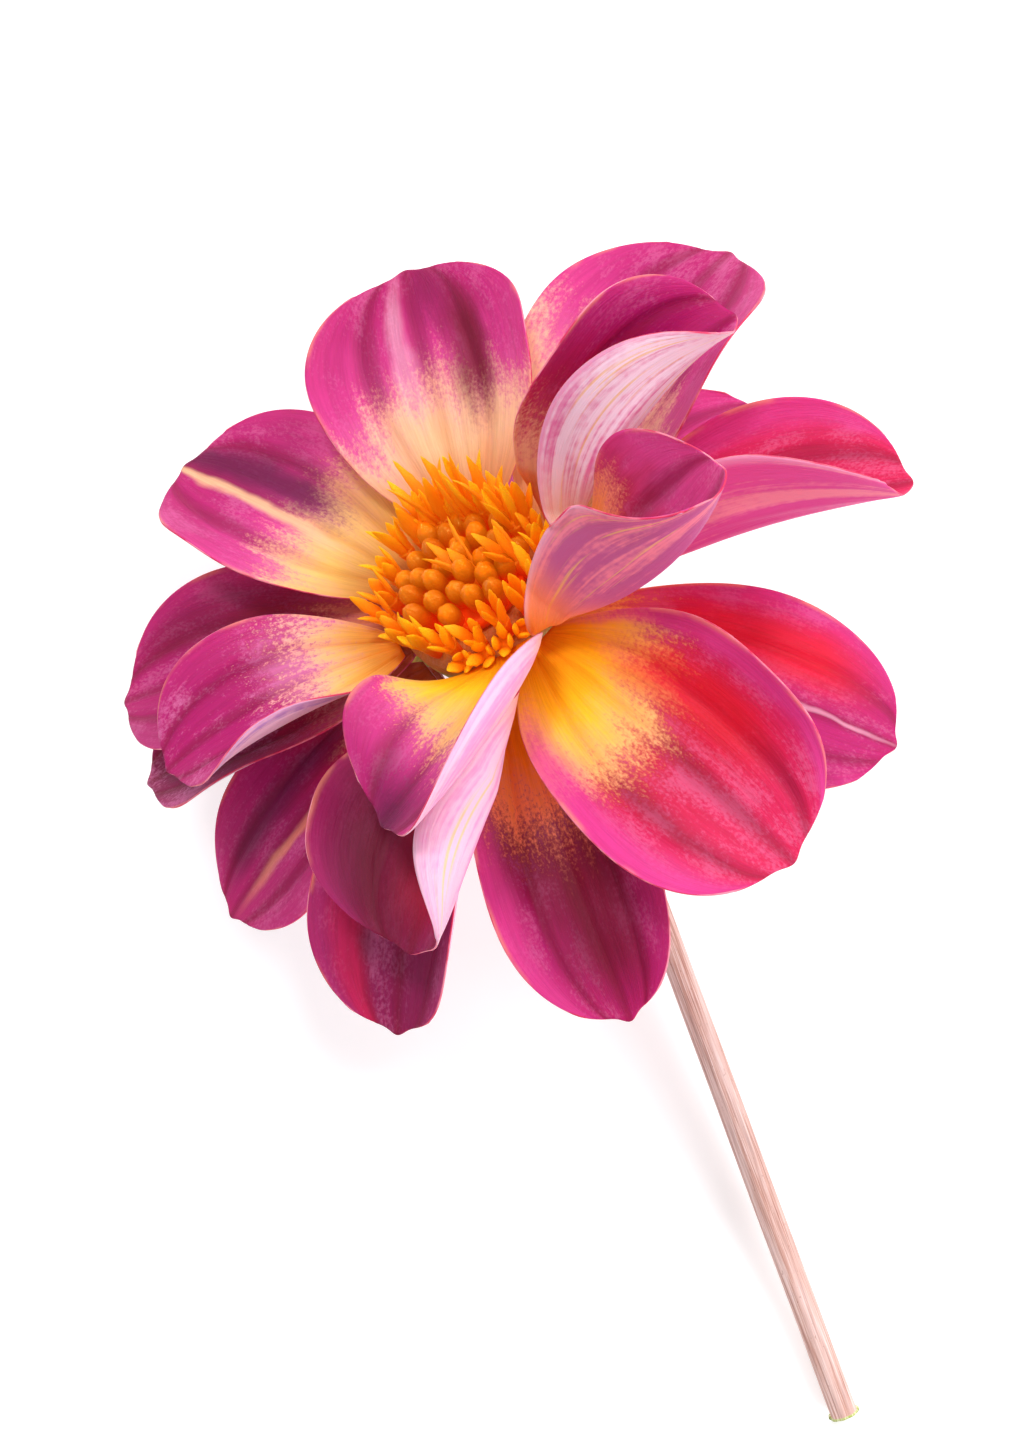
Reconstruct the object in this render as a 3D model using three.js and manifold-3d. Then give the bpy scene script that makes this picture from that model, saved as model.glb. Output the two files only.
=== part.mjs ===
// A cut dahlia: one semi-double flower head on its cut stem, lying on a table top.
// Units are millimetres, +Z is up and the table is Z = 0.
//
// The head is built upright in a frame of its own: its origin is the middle of the
// receptacle's rim, +Z is the way the flower faces, and azimuth 0 is +X. layDown() then
// leans it over on the reflexed florets of its back whorl, and the stem runs from the
// receptacle's neck down to the table, where its cut end lies.

import * as THREE from 'three';
import { mergeVertices } from 'three/addons/utils/BufferGeometryUtils.js';
import Module from 'manifold-3d';

const wasm = await Module();
wasm.setup();

// ---- driving dimensions -------------------------------------------------------------

const CLEARANCE = 0.35;                       // gap between neighbouring pieces
const FACET_ALLOWANCE = 0.25;                 // more where two faceted domes lie face to face

// how the head lies: degrees that its face leans from straight up, and where it faces
const HEAD = { lean: 45, heading: 128 };

// the swollen end of the stem that every floret and bract grows from
const RECEPTACLE = { rim: 9.2, dome: 1.8, shoulder: 0.6, depth: 10.5, neck: 1.9 };

// ray florets: the longest and the broadest one, and the outline they share
const RAY = { length: 38, width: 24, thickness: 0.5 };
const RAY_OUTLINE = { claw: 0.16, belly: 0.6, nib: 0.02 };

// heights on the receptacle's flank at which the whorls of ray florets are seated
const WHORL_HEIGHT = { inner: 0, middle: -1.8, outer: -3.4, lower: -4.8, back: -6.2 };

// the disc: closed buds in the middle, open florets in a ring round them
const BUD = { width: 2.4, height: 4.6, spacing: 1.21, fieldRadius: 6.3, bed: 0.8 };
const FLORET = { count: 18, tubeRadius: 0.65, mouthRadius: 0.95, length: 7.6, lean: 14 };

// bracts under the head: a thin inner whorl and a leafy, reflexed outer one
const BRACT = { thickness: 0.5, outline: { claw: 0.62, belly: 0.38, nib: 0.06 }, cup: [30, 30] };
const PHYLLARY = { count: 8, turn: 10, height: -8.0, length: 12, width: 6.4, rise: [-30, -30, -18] };
const LEAFY_BRACT = { count: 5, turn: 28, height: -9.3, length: 11, width: 4.8, rise: [-48, -62, -70] };

// the stem: a straight neck, then a bend that ends at a plan offset from the neck, then a
// straight run at a compass heading and a slope, whose cut end lies on the table
const STEM = {
  radius: 1.6, neckRun: 6, bendEnd: [16.5, -31.5], bendPull: 12, run: 62, heading: -69.5, slope: 6.3,
  sides: 10, steps: 34,
};

// ---- colours ------------------------------------------------------------------------

const finish = (color, roughness) => new THREE.MeshStandardMaterial({ color, roughness, metalness: 0 });
const FINISH = {
  ray: finish(0xd23a7c, 0.5),
  bud: finish(0xd9771c, 0.25),
  floret: finish(0xf08a12, 0.45),
  receptacle: finish(0x9aa64e, 0.55),
  phyllary: finish(0xb7b06a, 0.55),
  leafyBract: finish(0x6f8a3a, 0.6),
  stem: finish(0xc9a489, 0.5),
};

// ---- the ray florets of this flower -------------------------------------------------
//
// at     azimuth in degrees, counterclockwise seen from the front
// long   length as a share of RAY.length;  wide  width as a share of RAY.width
// rise   degrees that the midrib climbs towards the face at its base, middle and tip
// cup    degrees that the clockwise and the counterclockwise edge curl up
// crease degrees that each side folds up along the midrib, before its cupping
// grow   how many times stronger both are at the tip than at the middle
// sway   degrees that the midrib turns sideways; roll  degrees that the blade turns over

const RAY_FLORETS = [
  { at: 66, long: 0.82, wide: 1.12, rise: [30, 24, 12], cup: [25, 40], roll: 4, whorl: 'inner' },
  { at: 115, long: 0.83, wide: 1.04, rise: [30, 22, 8], cup: [15, 38], roll: 10, whorl: 'middle' },
  { at: 151, long: 0.87, wide: 1.0, rise: [8, 5, -5], cup: [45, 12], whorl: 'middle' },
  { at: 160, long: 0.9, wide: 0.83, rise: [0, -4, -9], cup: [45, 40], whorl: 'outer' },
  { at: 175, long: 0.74, wide: 0.79, rise: [24, 12, -15], cup: [40, 100], roll: -10, whorl: 'inner' },
  { at: 256.8, long: 0.74, wide: 1.0, rise: [30, 18, -18], cup: [60, 120],
    crease: [0, 0], sway: -75, whorl: 'inner' },
  { at: 180, long: 0.92, wide: 0.88, rise: [-8, -18, -23], cup: [15, 8], roll: -6, whorl: 'lower' },
  { at: 236, long: 0.82, wide: 1.25, rise: [0, -6, -20], cup: [50, 160],
    crease: [0, 0], grow: 1.8, sway: -25, whorl: 'middle' },
  { at: 216, long: 0.97, wide: 0.92, rise: [-16, -22, -38], cup: [60, 55],
    crease: [0, 15], sway: 1, roll: -8, whorl: 'outer' },
  { at: 250, long: 1.0, wide: 0.83, rise: [-14, -28, -37], cup: [60, 30], whorl: 'lower' },
  { at: 280.5, long: 0.97, wide: 1.17, rise: [0, -22, -38], cup: [45, 60], whorl: 'middle' },
  { at: 303.8, long: 0.97, wide: 0.92, rise: [-16, -26, -34], cup: [0, -10], whorl: 'outer' },
  { at: 330, long: 1.0, wide: 1.1, rise: [6, 3, -10], cup: [40, 45], crease: [75, 0], whorl: 'outer' },
  { at: 350, long: 0.84, wide: 1.1, rise: [40, 30, 5], cup: [60, 40],
    crease: [70, 60], roll: 8, whorl: 'inner' },
  { at: 19, long: 1.0, wide: 1.25, rise: [18, 12, -10], cup: [40, 40], whorl: 'outer' },
  { at: 298.6, long: 0.86, wide: 1.19, rise: [21, 29, 50], cup: [60, 42],
    crease: [75, 20], sway: 45, whorl: 'inner' },
  { at: 11, long: 0.8, wide: 0.92, rise: [-8, -10, -18], cup: [20, 50], whorl: 'back' },
  { at: 178, long: 0.82, wide: 0.75, rise: [-24, -30, -34], cup: [40, 22], whorl: 'back' },
  { at: 46, long: 1.0, wide: 0.9, rise: [-24, -32, -34], cup: [4, 30], whorl: 'back' },
  { at: 89, long: 0.96, wide: 0.9, rise: [-12, -9, 0], cup: [30, 12], whorl: 'back' },
  { at: 131.5, long: 0.98, wide: 0.9, rise: [-22, -30, -33], cup: [30, 10], whorl: 'back' },
];

// ---- geometry helpers ---------------------------------------------------------------

const radians = THREE.MathUtils.degToRad;
const GOLDEN_ANGLE = Math.PI * (3 - Math.sqrt(5));

function solidOf(geometry) {
  const bare = geometry.index ? geometry.toNonIndexed() : geometry.clone();
  bare.deleteAttribute('normal');
  bare.deleteAttribute('uv');
  const merged = mergeVertices(bare, 1e-5);
  const vertProperties = new Float32Array(merged.attributes.position.array);
  const triVerts = new Uint32Array(merged.index.array);
  return new wasm.Manifold(new wasm.Mesh({ numProp: 3, vertProperties, triVerts }));
}

function geometryOf(solid) {
  const mesh = solid.getMesh();
  const geometry = new THREE.BufferGeometry();
  geometry.setAttribute('position', new THREE.BufferAttribute(new Float32Array(mesh.vertProperties), 3));
  geometry.setIndex(new THREE.BufferAttribute(new Uint32Array(mesh.triVerts), 1));
  geometry.computeVertexNormals();
  return geometry;
}

// Closes a grid of points into a thin shell, half its thickness to each side.
function shellFromGrid(rows, thickness) {
  const down = rows.length;
  const across = rows[0].length;
  const normalAt = (i, j) => {
    const along = rows[Math.min(i + 1, down - 1)][j].clone().sub(rows[Math.max(i - 1, 0)][j]);
    const aside = rows[i][Math.min(j + 1, across - 1)].clone().sub(rows[i][Math.max(j - 1, 0)]);
    return along.cross(aside).normalize();
  };
  const points = [];
  for (const side of [1, -1]) {
    for (let i = 0; i < down; i += 1) {
      for (let j = 0; j < across; j += 1) {
        points.push(rows[i][j].clone().addScaledVector(normalAt(i, j), side * thickness / 2));
      }
    }
  }
  const faces = [];
  const quad = (a, b, c, d) => faces.push(a, b, c, a, c, d);
  const front = (i, j) => i * across + j;
  const rear = (i, j) => down * across + i * across + j;
  for (let i = 0; i < down - 1; i += 1) {
    for (let j = 0; j < across - 1; j += 1) {
      quad(front(i, j), front(i + 1, j), front(i + 1, j + 1), front(i, j + 1));
      quad(rear(i, j), rear(i, j + 1), rear(i + 1, j + 1), rear(i + 1, j));
    }
    quad(front(i, 0), rear(i, 0), rear(i + 1, 0), front(i + 1, 0));
    quad(front(i, across - 1), front(i + 1, across - 1), rear(i + 1, across - 1), rear(i, across - 1));
  }
  for (let j = 0; j < across - 1; j += 1) {
    quad(front(0, j), front(0, j + 1), rear(0, j + 1), rear(0, j));
    quad(front(down - 1, j), rear(down - 1, j), rear(down - 1, j + 1), front(down - 1, j + 1));
  }
  const geometry = new THREE.BufferGeometry();
  geometry.setAttribute('position', new THREE.Float32BufferAttribute(points.flatMap((p) => p.toArray()), 3));
  geometry.setIndex(faces);
  geometry.computeVertexNormals();
  return geometry;
}

// ---- blades: ray florets and bracts -------------------------------------------------

const EDGE_END = 0.955;           // the outermost grid line stops just short of the tip
const MIDRIB_STEPS = 60;
const ARC_STEPS = 12;
const KEEL = { angle: 6, share: 0.12 };
const CREASE_SHARE = 0.3;         // a crease is spread over this share of the half width,
const CREASE_START = 0.2;         // and is full from this share of the length on

// Half of a blade's width, as a share of its greatest, at a share of its length.
function halfWidth(outline, along) {
  const { claw, belly } = outline;
  if (along < belly) return claw + (1 - claw) * Math.sin(Math.PI / 2 * along / belly) ** 0.85;
  return Math.sqrt(Math.max(0, 1 - ((along - belly) / (1 - belly)) ** 2.2));
}

// Where the tip's edge lies along the blade, at a share of the half width.
function tipAt(outline, across) {
  const { belly, nib } = outline;
  const round = belly + (1 - belly) * (1 - across * across) ** (1 / 2.2);
  return round + nib * Math.exp(-((across / 0.1) ** 2));
}

// The midrib's climb at a share of its length: a parabola through base, middle and tip.
function climbAt([base, middle, tip], along) {
  const l = Math.min(along, 1);
  return radians(base * (1 - l) * (1 - 2 * l) + 4 * middle * l * (1 - l) + tip * l * (2 * l - 1));
}

// A blade's surface point for a share of the way out and of the way across (-1 to 1).
function bladeSurface(blade) {
  const { length, width, rise, cup, crease = [0, 0], grow = 1, sway = 0, roll = 0, outline, seat } = blade;
  const midrib = [new THREE.Vector3()];
  const step = length / MIDRIB_STEPS;
  for (let i = 0; i < MIDRIB_STEPS + 4; i += 1) {
    const along = (i + 0.5) / MIDRIB_STEPS;
    const climb = climbAt(rise, along);
    const turn = radians(sway) * along;
    const forward = new THREE.Vector3(
      Math.cos(climb) * Math.cos(turn), Math.cos(climb) * Math.sin(turn), Math.sin(climb));
    midrib.push(midrib[i].clone().addScaledVector(forward, step));
  }
  const edge = halfWidth(outline, EDGE_END);
  return (out, side) => {
    const across = side * halfWidth(outline, out * EDGE_END);
    const along = out * tipAt(outline, side * edge);
    const index = Math.min(Math.floor(along * MIDRIB_STEPS), midrib.length - 2);
    const point = midrib[index].clone().lerp(midrib[index + 1], along * MIDRIB_STEPS - index);
    const climb = climbAt(rise, along);
    const turn = radians(sway) * along;
    const level = new THREE.Vector3(-Math.sin(turn), Math.cos(turn), 0);
    const above = new THREE.Vector3(
      -Math.sin(climb) * Math.cos(turn), -Math.sin(climb) * Math.sin(turn), Math.cos(climb));
    const over = radians(roll);
    const lateral = level.clone().multiplyScalar(Math.cos(over)).addScaledVector(above, Math.sin(over));
    const upward = above.clone().multiplyScalar(Math.cos(over)).addScaledVector(level, -Math.sin(over));
    const late = 1 + (grow - 1) * Math.max(0, 2 * along - 1);
    const strength = (0.75 + 0.25 * Math.sin(Math.PI * Math.min(1, along))) * late;
    const curl = cup[across < 0 ? 0 : 1] * strength;
    const fold = crease[across < 0 ? 0 : 1] * strength * Math.min(1, along / CREASE_START);
    let sideways = 0;
    let lifted = 0;
    for (let i = 0; i < ARC_STEPS; i += 1) {
      const q = (i + 0.5) / ARC_STEPS * Math.abs(across);
      const lean = radians(KEEL.angle * Math.min(1, q / KEEL.share)
        + fold * Math.min(1, q / CREASE_SHARE) + curl * (0.45 * q + 0.55 * q ** 3));
      sideways += Math.cos(lean);
      lifted += Math.sin(lean);
    }
    const reach = Math.abs(across) * width / 2 / ARC_STEPS;
    point.addScaledVector(lateral, Math.sign(across) * sideways * reach);
    point.addScaledVector(upward, lifted * reach);
    point.x += seat.radius;
    point.z += seat.height;
    return point.applyAxisAngle(new THREE.Vector3(0, 0, 1), radians(blade.at));
  };
}

function bladeGeometry(blade, { rows, columns, thickness }) {
  const surface = bladeSurface(blade);
  const grid = [];
  for (let i = 0; i <= rows; i += 1) {
    const line = [];
    for (let j = 0; j <= columns; j += 1) line.push(surface(i / rows, 2 * j / columns - 1));
    grid.push(line);
  }
  return shellFromGrid(grid, thickness);
}

// ---- the receptacle, which seats everything else --------------------------------------

// Radius of the receptacle's flank at a height at or below its rim.
function flankRadius(height) {
  const { rim, shoulder, depth, neck } = RECEPTACLE;
  const down = Math.max(0, (-height - shoulder) / (depth - shoulder));
  return neck + (rim - neck) * Math.sqrt(1 - Math.min(1, down) ** 1.6);
}

// Height of the receptacle's domed top at a radius.
function domeHeight(radius) {
  const { rim, dome, shoulder } = RECEPTACLE;
  return dome - (dome + shoulder) * (radius / rim) ** 3;
}

// A seat on the flank for a blade of some thickness.
function seatAt(height, thickness) {
  return { radius: flankRadius(height) + CLEARANCE + thickness, height };
}

function receptacle() {
  const { rim, shoulder, depth } = RECEPTACLE;
  const topRings = 6;
  const flankRings = 9;
  const profile = [];
  for (let i = 0; i <= topRings; i += 1) {
    const radius = rim * i / topRings;
    profile.push(new THREE.Vector2(radius, domeHeight(radius)));
  }
  for (let i = 1; i <= flankRings; i += 1) {
    const height = -shoulder - (depth - shoulder) * Math.sin(Math.PI / 2 * i / flankRings);
    profile.push(new THREE.Vector2(flankRadius(height), height));
  }
  profile.push(new THREE.Vector2(0, -depth));
  const geometry = new THREE.LatheGeometry(profile.reverse(), 24);
  geometry.rotateX(Math.PI / 2);
  return geometryOf(solidOf(geometry));
}

// ---- the disc -----------------------------------------------------------------------

// A bud or floret standing on the origin along +Z, from its outline of [radius, height].
function turned(outline, sides) {
  const profile = outline.map(([radius, height]) => new THREE.Vector2(radius, height));
  const geometry = new THREE.LatheGeometry(profile, sides);
  geometry.rotateX(Math.PI / 2);
  return geometry;
}

function discBuds() {
  const { width, height, spacing, fieldRadius, bed } = BUD;
  const r = width / 2;
  const outline = [[0, -bed], [0.7 * r, -bed], [r, 0.42 * height], [0.86 * r, 0.68 * height],
    [0.5 * r, 0.9 * height], [0, height]];
  const count = Math.floor((fieldRadius / spacing) ** 2);
  const seatGap = CLEARANCE + FACET_ALLOWANCE;
  // the bed that the buds share follows the receptacle's dome
  const bedRadius = fieldRadius + 0.3;
  const rings = 5;
  const bedOutline = [];
  for (let i = 0; i <= rings; i += 1) {
    const radius = bedRadius * i / rings;
    bedOutline.push([radius, domeHeight(radius) + seatGap]);
  }
  for (let i = rings; i >= 0; i -= 1) {
    const radius = bedRadius * i / rings;
    bedOutline.push([radius, domeHeight(radius) + seatGap + bed]);
  }
  let solid = solidOf(turned(bedOutline, 20));
  for (let n = 0; n < count; n += 1) {
    const radius = spacing * Math.sqrt(n + 0.5);
    const angle = n * GOLDEN_ANGLE;
    const bud = turned(outline, 7);
    bud.scale(1, 1, 0.86 + 0.14 * Math.cos(3 * n));
    bud.rotateY(radians(18) * radius / fieldRadius);
    bud.translate(radius, 0, domeHeight(radius) + seatGap + bed);
    bud.rotateZ(angle);
    solid = solid.add(solidOf(bud));
  }
  return geometryOf(solid);
}

function discFloret(index) {
  const { count, tubeRadius, mouthRadius, length, lean } = FLORET;
  const tall = length * (0.88 + 0.12 * Math.cos(2.4 * index));
  const outline = [[0, 0], [tubeRadius, 0], [tubeRadius, 0.5 * tall], [mouthRadius, 0.68 * tall],
    [0.6 * mouthRadius, 0.86 * tall], [0, tall]];
  const geometry = turned(outline, 7);
  const radius = (BUD.fieldRadius + BUD.width / 2 + RECEPTACLE.rim) / 2;
  const leaning = radians(lean + 4 * Math.sin(1.7 * index));
  geometry.rotateY(leaning);
  geometry.translate(radius, 0, domeHeight(radius) + CLEARANCE + tubeRadius * Math.sin(leaning));
  geometry.rotateZ(2 * Math.PI * (index + 0.5) / count);
  return geometryOf(solidOf(geometry));
}

// ---- the stem -----------------------------------------------------------------------

// The stem's centre line, from the neck to the cut end.
function stemRoute(neck, back) {
  const { radius, neckRun, bendEnd, bendPull, run, heading, slope } = STEM;
  const ahead = new THREE.Vector3(Math.cos(radians(heading)), Math.sin(radians(heading)), 0)
    .multiplyScalar(Math.cos(radians(slope)));
  ahead.z = -Math.sin(radians(slope));
  const start = neck.clone().addScaledVector(back, neckRun);
  const end = new THREE.Vector3(neck.x + bendEnd[0], neck.y + bendEnd[1], radius - run * ahead.z);
  const bend = new THREE.CubicBezierCurve3(
    start, start.clone().addScaledVector(back, bendPull), end.clone().addScaledVector(ahead, -bendPull), end);
  const halfWay = end.clone().addScaledVector(ahead, run / 2);
  const cutEnd = end.clone().addScaledVector(ahead, run);
  return new THREE.CatmullRomCurve3([neck, ...bend.getPoints(5), halfWay, cutEnd], false, 'centripetal');
}

function stem(neck, back) {
  const { radius, sides, steps } = STEM;
  const section = new THREE.Shape();
  for (let i = 0; i < sides; i += 1) {
    const angle = 2 * Math.PI * i / sides;
    const [x, y] = [radius * Math.cos(angle), radius * Math.sin(angle)];
    if (i === 0) section.moveTo(x, y); else section.lineTo(x, y);
  }
  section.closePath();
  const extrudePath = stemRoute(neck, back);
  return geometryOf(solidOf(new THREE.ExtrudeGeometry(section, { steps, bevelEnabled: false, extrudePath })));
}

// ---- assembly -----------------------------------------------------------------------

function named(name, geometry, material) {
  const mesh = new THREE.Mesh(geometry, material);
  mesh.name = name;
  return mesh;
}

const twoDigits = (number) => String(number).padStart(2, '0');

function whorlOfBracts(size, offset) {
  const blades = [];
  for (let i = 0; i < size.count; i += 1) {
    blades.push({
      ...size, outline: BRACT.outline, cup: BRACT.cup, at: offset + 360 * i / size.count,
      seat: seatAt(size.height, BRACT.thickness),
    });
  }
  return blades;
}

const head = new THREE.Group();
head.add(named('receptacle', receptacle(), FINISH.receptacle));
head.add(named('disc_buds', discBuds(), FINISH.bud));
for (let i = 0; i < FLORET.count; i += 1) {
  head.add(named(`disc_floret_${twoDigits(i + 1)}`, discFloret(i), FINISH.floret));
}
RAY_FLORETS.forEach((floret, i) => {
  const blade = {
    ...floret, length: RAY.length * floret.long, width: RAY.width * floret.wide, outline: RAY_OUTLINE,
    seat: seatAt(WHORL_HEIGHT[floret.whorl], RAY.thickness),
  };
  const geometry = bladeGeometry(blade, { rows: 10, columns: 6, thickness: RAY.thickness });
  head.add(named(`ray_floret_${twoDigits(i + 1)}`, geometry, FINISH.ray));
});
whorlOfBracts(PHYLLARY, PHYLLARY.turn).forEach((blade, i) => {
  const geometry = bladeGeometry(blade, { rows: 5, columns: 4, thickness: BRACT.thickness });
  head.add(named(`phyllary_${i + 1}`, geometry, FINISH.phyllary));
});
whorlOfBracts(LEAFY_BRACT, LEAFY_BRACT.turn).forEach((blade, i) => {
  const geometry = bladeGeometry(blade, { rows: 5, columns: 4, thickness: BRACT.thickness });
  head.add(named(`leafy_bract_${i + 1}`, geometry, FINISH.leafyBract));
});

// Leans the head over and lowers it until its lowest floret touches the table.
function layDown(group) {
  group.rotation.set(-radians(HEAD.lean), 0, radians(HEAD.heading - 90), 'ZXY');
  group.updateMatrixWorld(true);
  group.position.z = -new THREE.Box3().setFromObject(group, true).min.z;
  group.updateMatrixWorld(true);
}

layDown(head);
const neck = new THREE.Vector3(0, 0, -RECEPTACLE.depth - CLEARANCE).applyMatrix4(head.matrixWorld);
const back = new THREE.Vector3(0, 0, -1).transformDirection(head.matrixWorld);

const group = new THREE.Group();
group.add(head);
group.add(named('stem', stem(neck, back), FINISH.stem));
group.updateMatrixWorld(true);
const footprint = new THREE.Box3().setFromObject(group, true);
group.position.set(-(footprint.min.x + footprint.max.x) / 2, -(footprint.min.y + footprint.max.y) / 2,
  -footprint.min.z);

export default group;
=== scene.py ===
"""A cut dahlia lying on a table: petals, disc, bracts and stem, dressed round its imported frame.

The flower's sizes are in millimetres in the head's own frame: the origin is the middle of the
receptacle's rim, +Z is the way the flower faces and azimuth 0 is +X, counterclockwise seen from
the front. Head carries them into the row frame, in metres.
"""

from __future__ import annotations

import logging
import math
import random
from dataclasses import dataclass, replace
from enum import Enum
from functools import cached_property
from typing import Sequence, Union

import bmesh
import bpy
from mathutils import Matrix, Vector, noise
from mathutils.geometry import interpolate_bezier


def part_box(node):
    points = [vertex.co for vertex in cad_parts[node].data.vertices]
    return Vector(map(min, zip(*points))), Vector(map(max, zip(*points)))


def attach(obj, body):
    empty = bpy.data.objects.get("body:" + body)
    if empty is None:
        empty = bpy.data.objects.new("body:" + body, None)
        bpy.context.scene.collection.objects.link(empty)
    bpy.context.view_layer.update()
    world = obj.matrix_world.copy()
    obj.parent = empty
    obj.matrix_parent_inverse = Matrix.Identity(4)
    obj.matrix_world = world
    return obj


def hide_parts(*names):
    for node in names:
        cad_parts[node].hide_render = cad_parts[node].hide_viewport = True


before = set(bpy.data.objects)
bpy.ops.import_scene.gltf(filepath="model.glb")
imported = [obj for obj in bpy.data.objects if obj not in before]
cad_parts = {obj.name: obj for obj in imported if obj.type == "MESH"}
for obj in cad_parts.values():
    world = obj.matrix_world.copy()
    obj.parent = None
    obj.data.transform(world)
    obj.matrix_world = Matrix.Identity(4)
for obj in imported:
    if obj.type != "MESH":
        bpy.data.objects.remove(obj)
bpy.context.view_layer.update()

LOG = logging.getLogger("dahlia")
BODY = "root"
MM = 0.001
CLEARANCE = 0.35
SOFT_SPECULAR = 0.2
# Strength of the painted glow: emission that makes the disc's buds and florets shine though no lamp lights
# them.
DISC_PAINTED_GLOW = 0.17
FLOOR_GLOW = 0.2
GOLDEN_ANGLE = math.pi * (3 - math.sqrt(5))

Color = tuple[float, float, float, float]


# ---- shader graphs --------------------------------------------------------------------


class Pigment(Enum):
    """The colours that the flower and its stage are painted with, as sRGB hex."""

    ORANGE = "f58a06"
    AMBER = "c8660e"
    YELLOW = "ffc814"
    STRAW = "efc063"
    CREAM = "f0c090"
    PEACH = "f2a06a"
    BLUSH = "e88cc0"
    PALE_PINK = "f0b8d0"
    PINK = "d23a8c"
    ROSE = "cc1a54"
    MAGENTA = "b01468"
    PURPLE = "8a1250"
    PLUM = "5c0c3c"
    CRIMSON = "b80834"
    WINE = "740426"
    RED = "d40824"
    LILAC = "f0cede"
    MAUVE = "b04a88"
    VIOLET = "9a5fb4"
    SALMON = "ea7f96"
    GLOW = "ee7a0a"
    RUST = "b84408"
    FLAME = "e83c06"
    OLIVE = "8e9440"
    LEAF = "5f7f2c"
    LIME = "b4bf5e"
    BARK = "6e5a26"
    TAN = "cf9f92"
    SHELL = "f2d8d4"
    ROSEWOOD = "9c6458"
    PITH = "dfe0ae"
    PAPER = "fafafa"

    @property
    def linear(self) -> Color:
        """The pigment as a linear colour with full alpha.

        Returns:
            Red, green, blue and alpha, from 0 to 1.
        """
        parts = (int(self.value[i:i + 2], 16) / 255 for i in (0, 2, 4))
        red, green, blue = (p / 12.92 if p <= 0.04045 else ((p + 0.055) / 1.055) ** 2.4 for p in parts)
        return red, green, blue, 1.0


class Signal:
    """A shader socket that takes part in arithmetic."""

    def __init__(self, graph: Graph, socket: bpy.types.NodeSocket) -> None:
        """Wraps one output socket of a graph."""
        self.graph = graph
        self.socket = socket

    def math(self, operation: str, *values: Value) -> Signal:
        """A Math node on some values.

        Args:
            operation: the node's operation.
            values: its inputs, in order.

        Returns:
            The node's result.
        """
        return self.graph.node("ShaderNodeMath", {"operation": operation}, dict(enumerate(values)))

    def __add__(self, other: Value) -> Signal:
        """The sum."""
        return self.math("ADD", self, other)

    def __radd__(self, other: Value) -> Signal:
        """The sum, from the right."""
        return self.math("ADD", other, self)

    def __sub__(self, other: Value) -> Signal:
        """The difference."""
        return self.math("SUBTRACT", self, other)

    def __rsub__(self, other: Value) -> Signal:
        """The difference, from the right."""
        return self.math("SUBTRACT", other, self)

    def __mul__(self, other: Value) -> Signal:
        """The product."""
        return self.math("MULTIPLY", self, other)

    def __rmul__(self, other: Value) -> Signal:
        """The product, from the right."""
        return self.math("MULTIPLY", other, self)

    def __pow__(self, other: Value) -> Signal:
        """The power."""
        return self.math("POWER", self, other)

    def __abs__(self) -> Signal:
        """The size without its sign."""
        return self.math("ABSOLUTE", self)

    def at_least(self, other: Value) -> Signal:
        """The greater of two values."""
        return self.math("MAXIMUM", self, other)

    def wave(self) -> Signal:
        """The sine, moved and scaled to run from 0 to 1."""
        return self.math("SINE", self) * 0.5 + 0.5

    def step(self, low: float, high: float) -> Signal:
        """A smooth step.

        Args:
            low: where it is 0.
            high: where it is 1.

        Returns:
            The stepped value, from 0 to 1.
        """
        settings = {"interpolation_type": "SMOOTHSTEP"}
        return self.graph.node("ShaderNodeMapRange", settings, {0: self, 1: low, 2: high})


Value = Union[Signal, float, Color]


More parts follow.
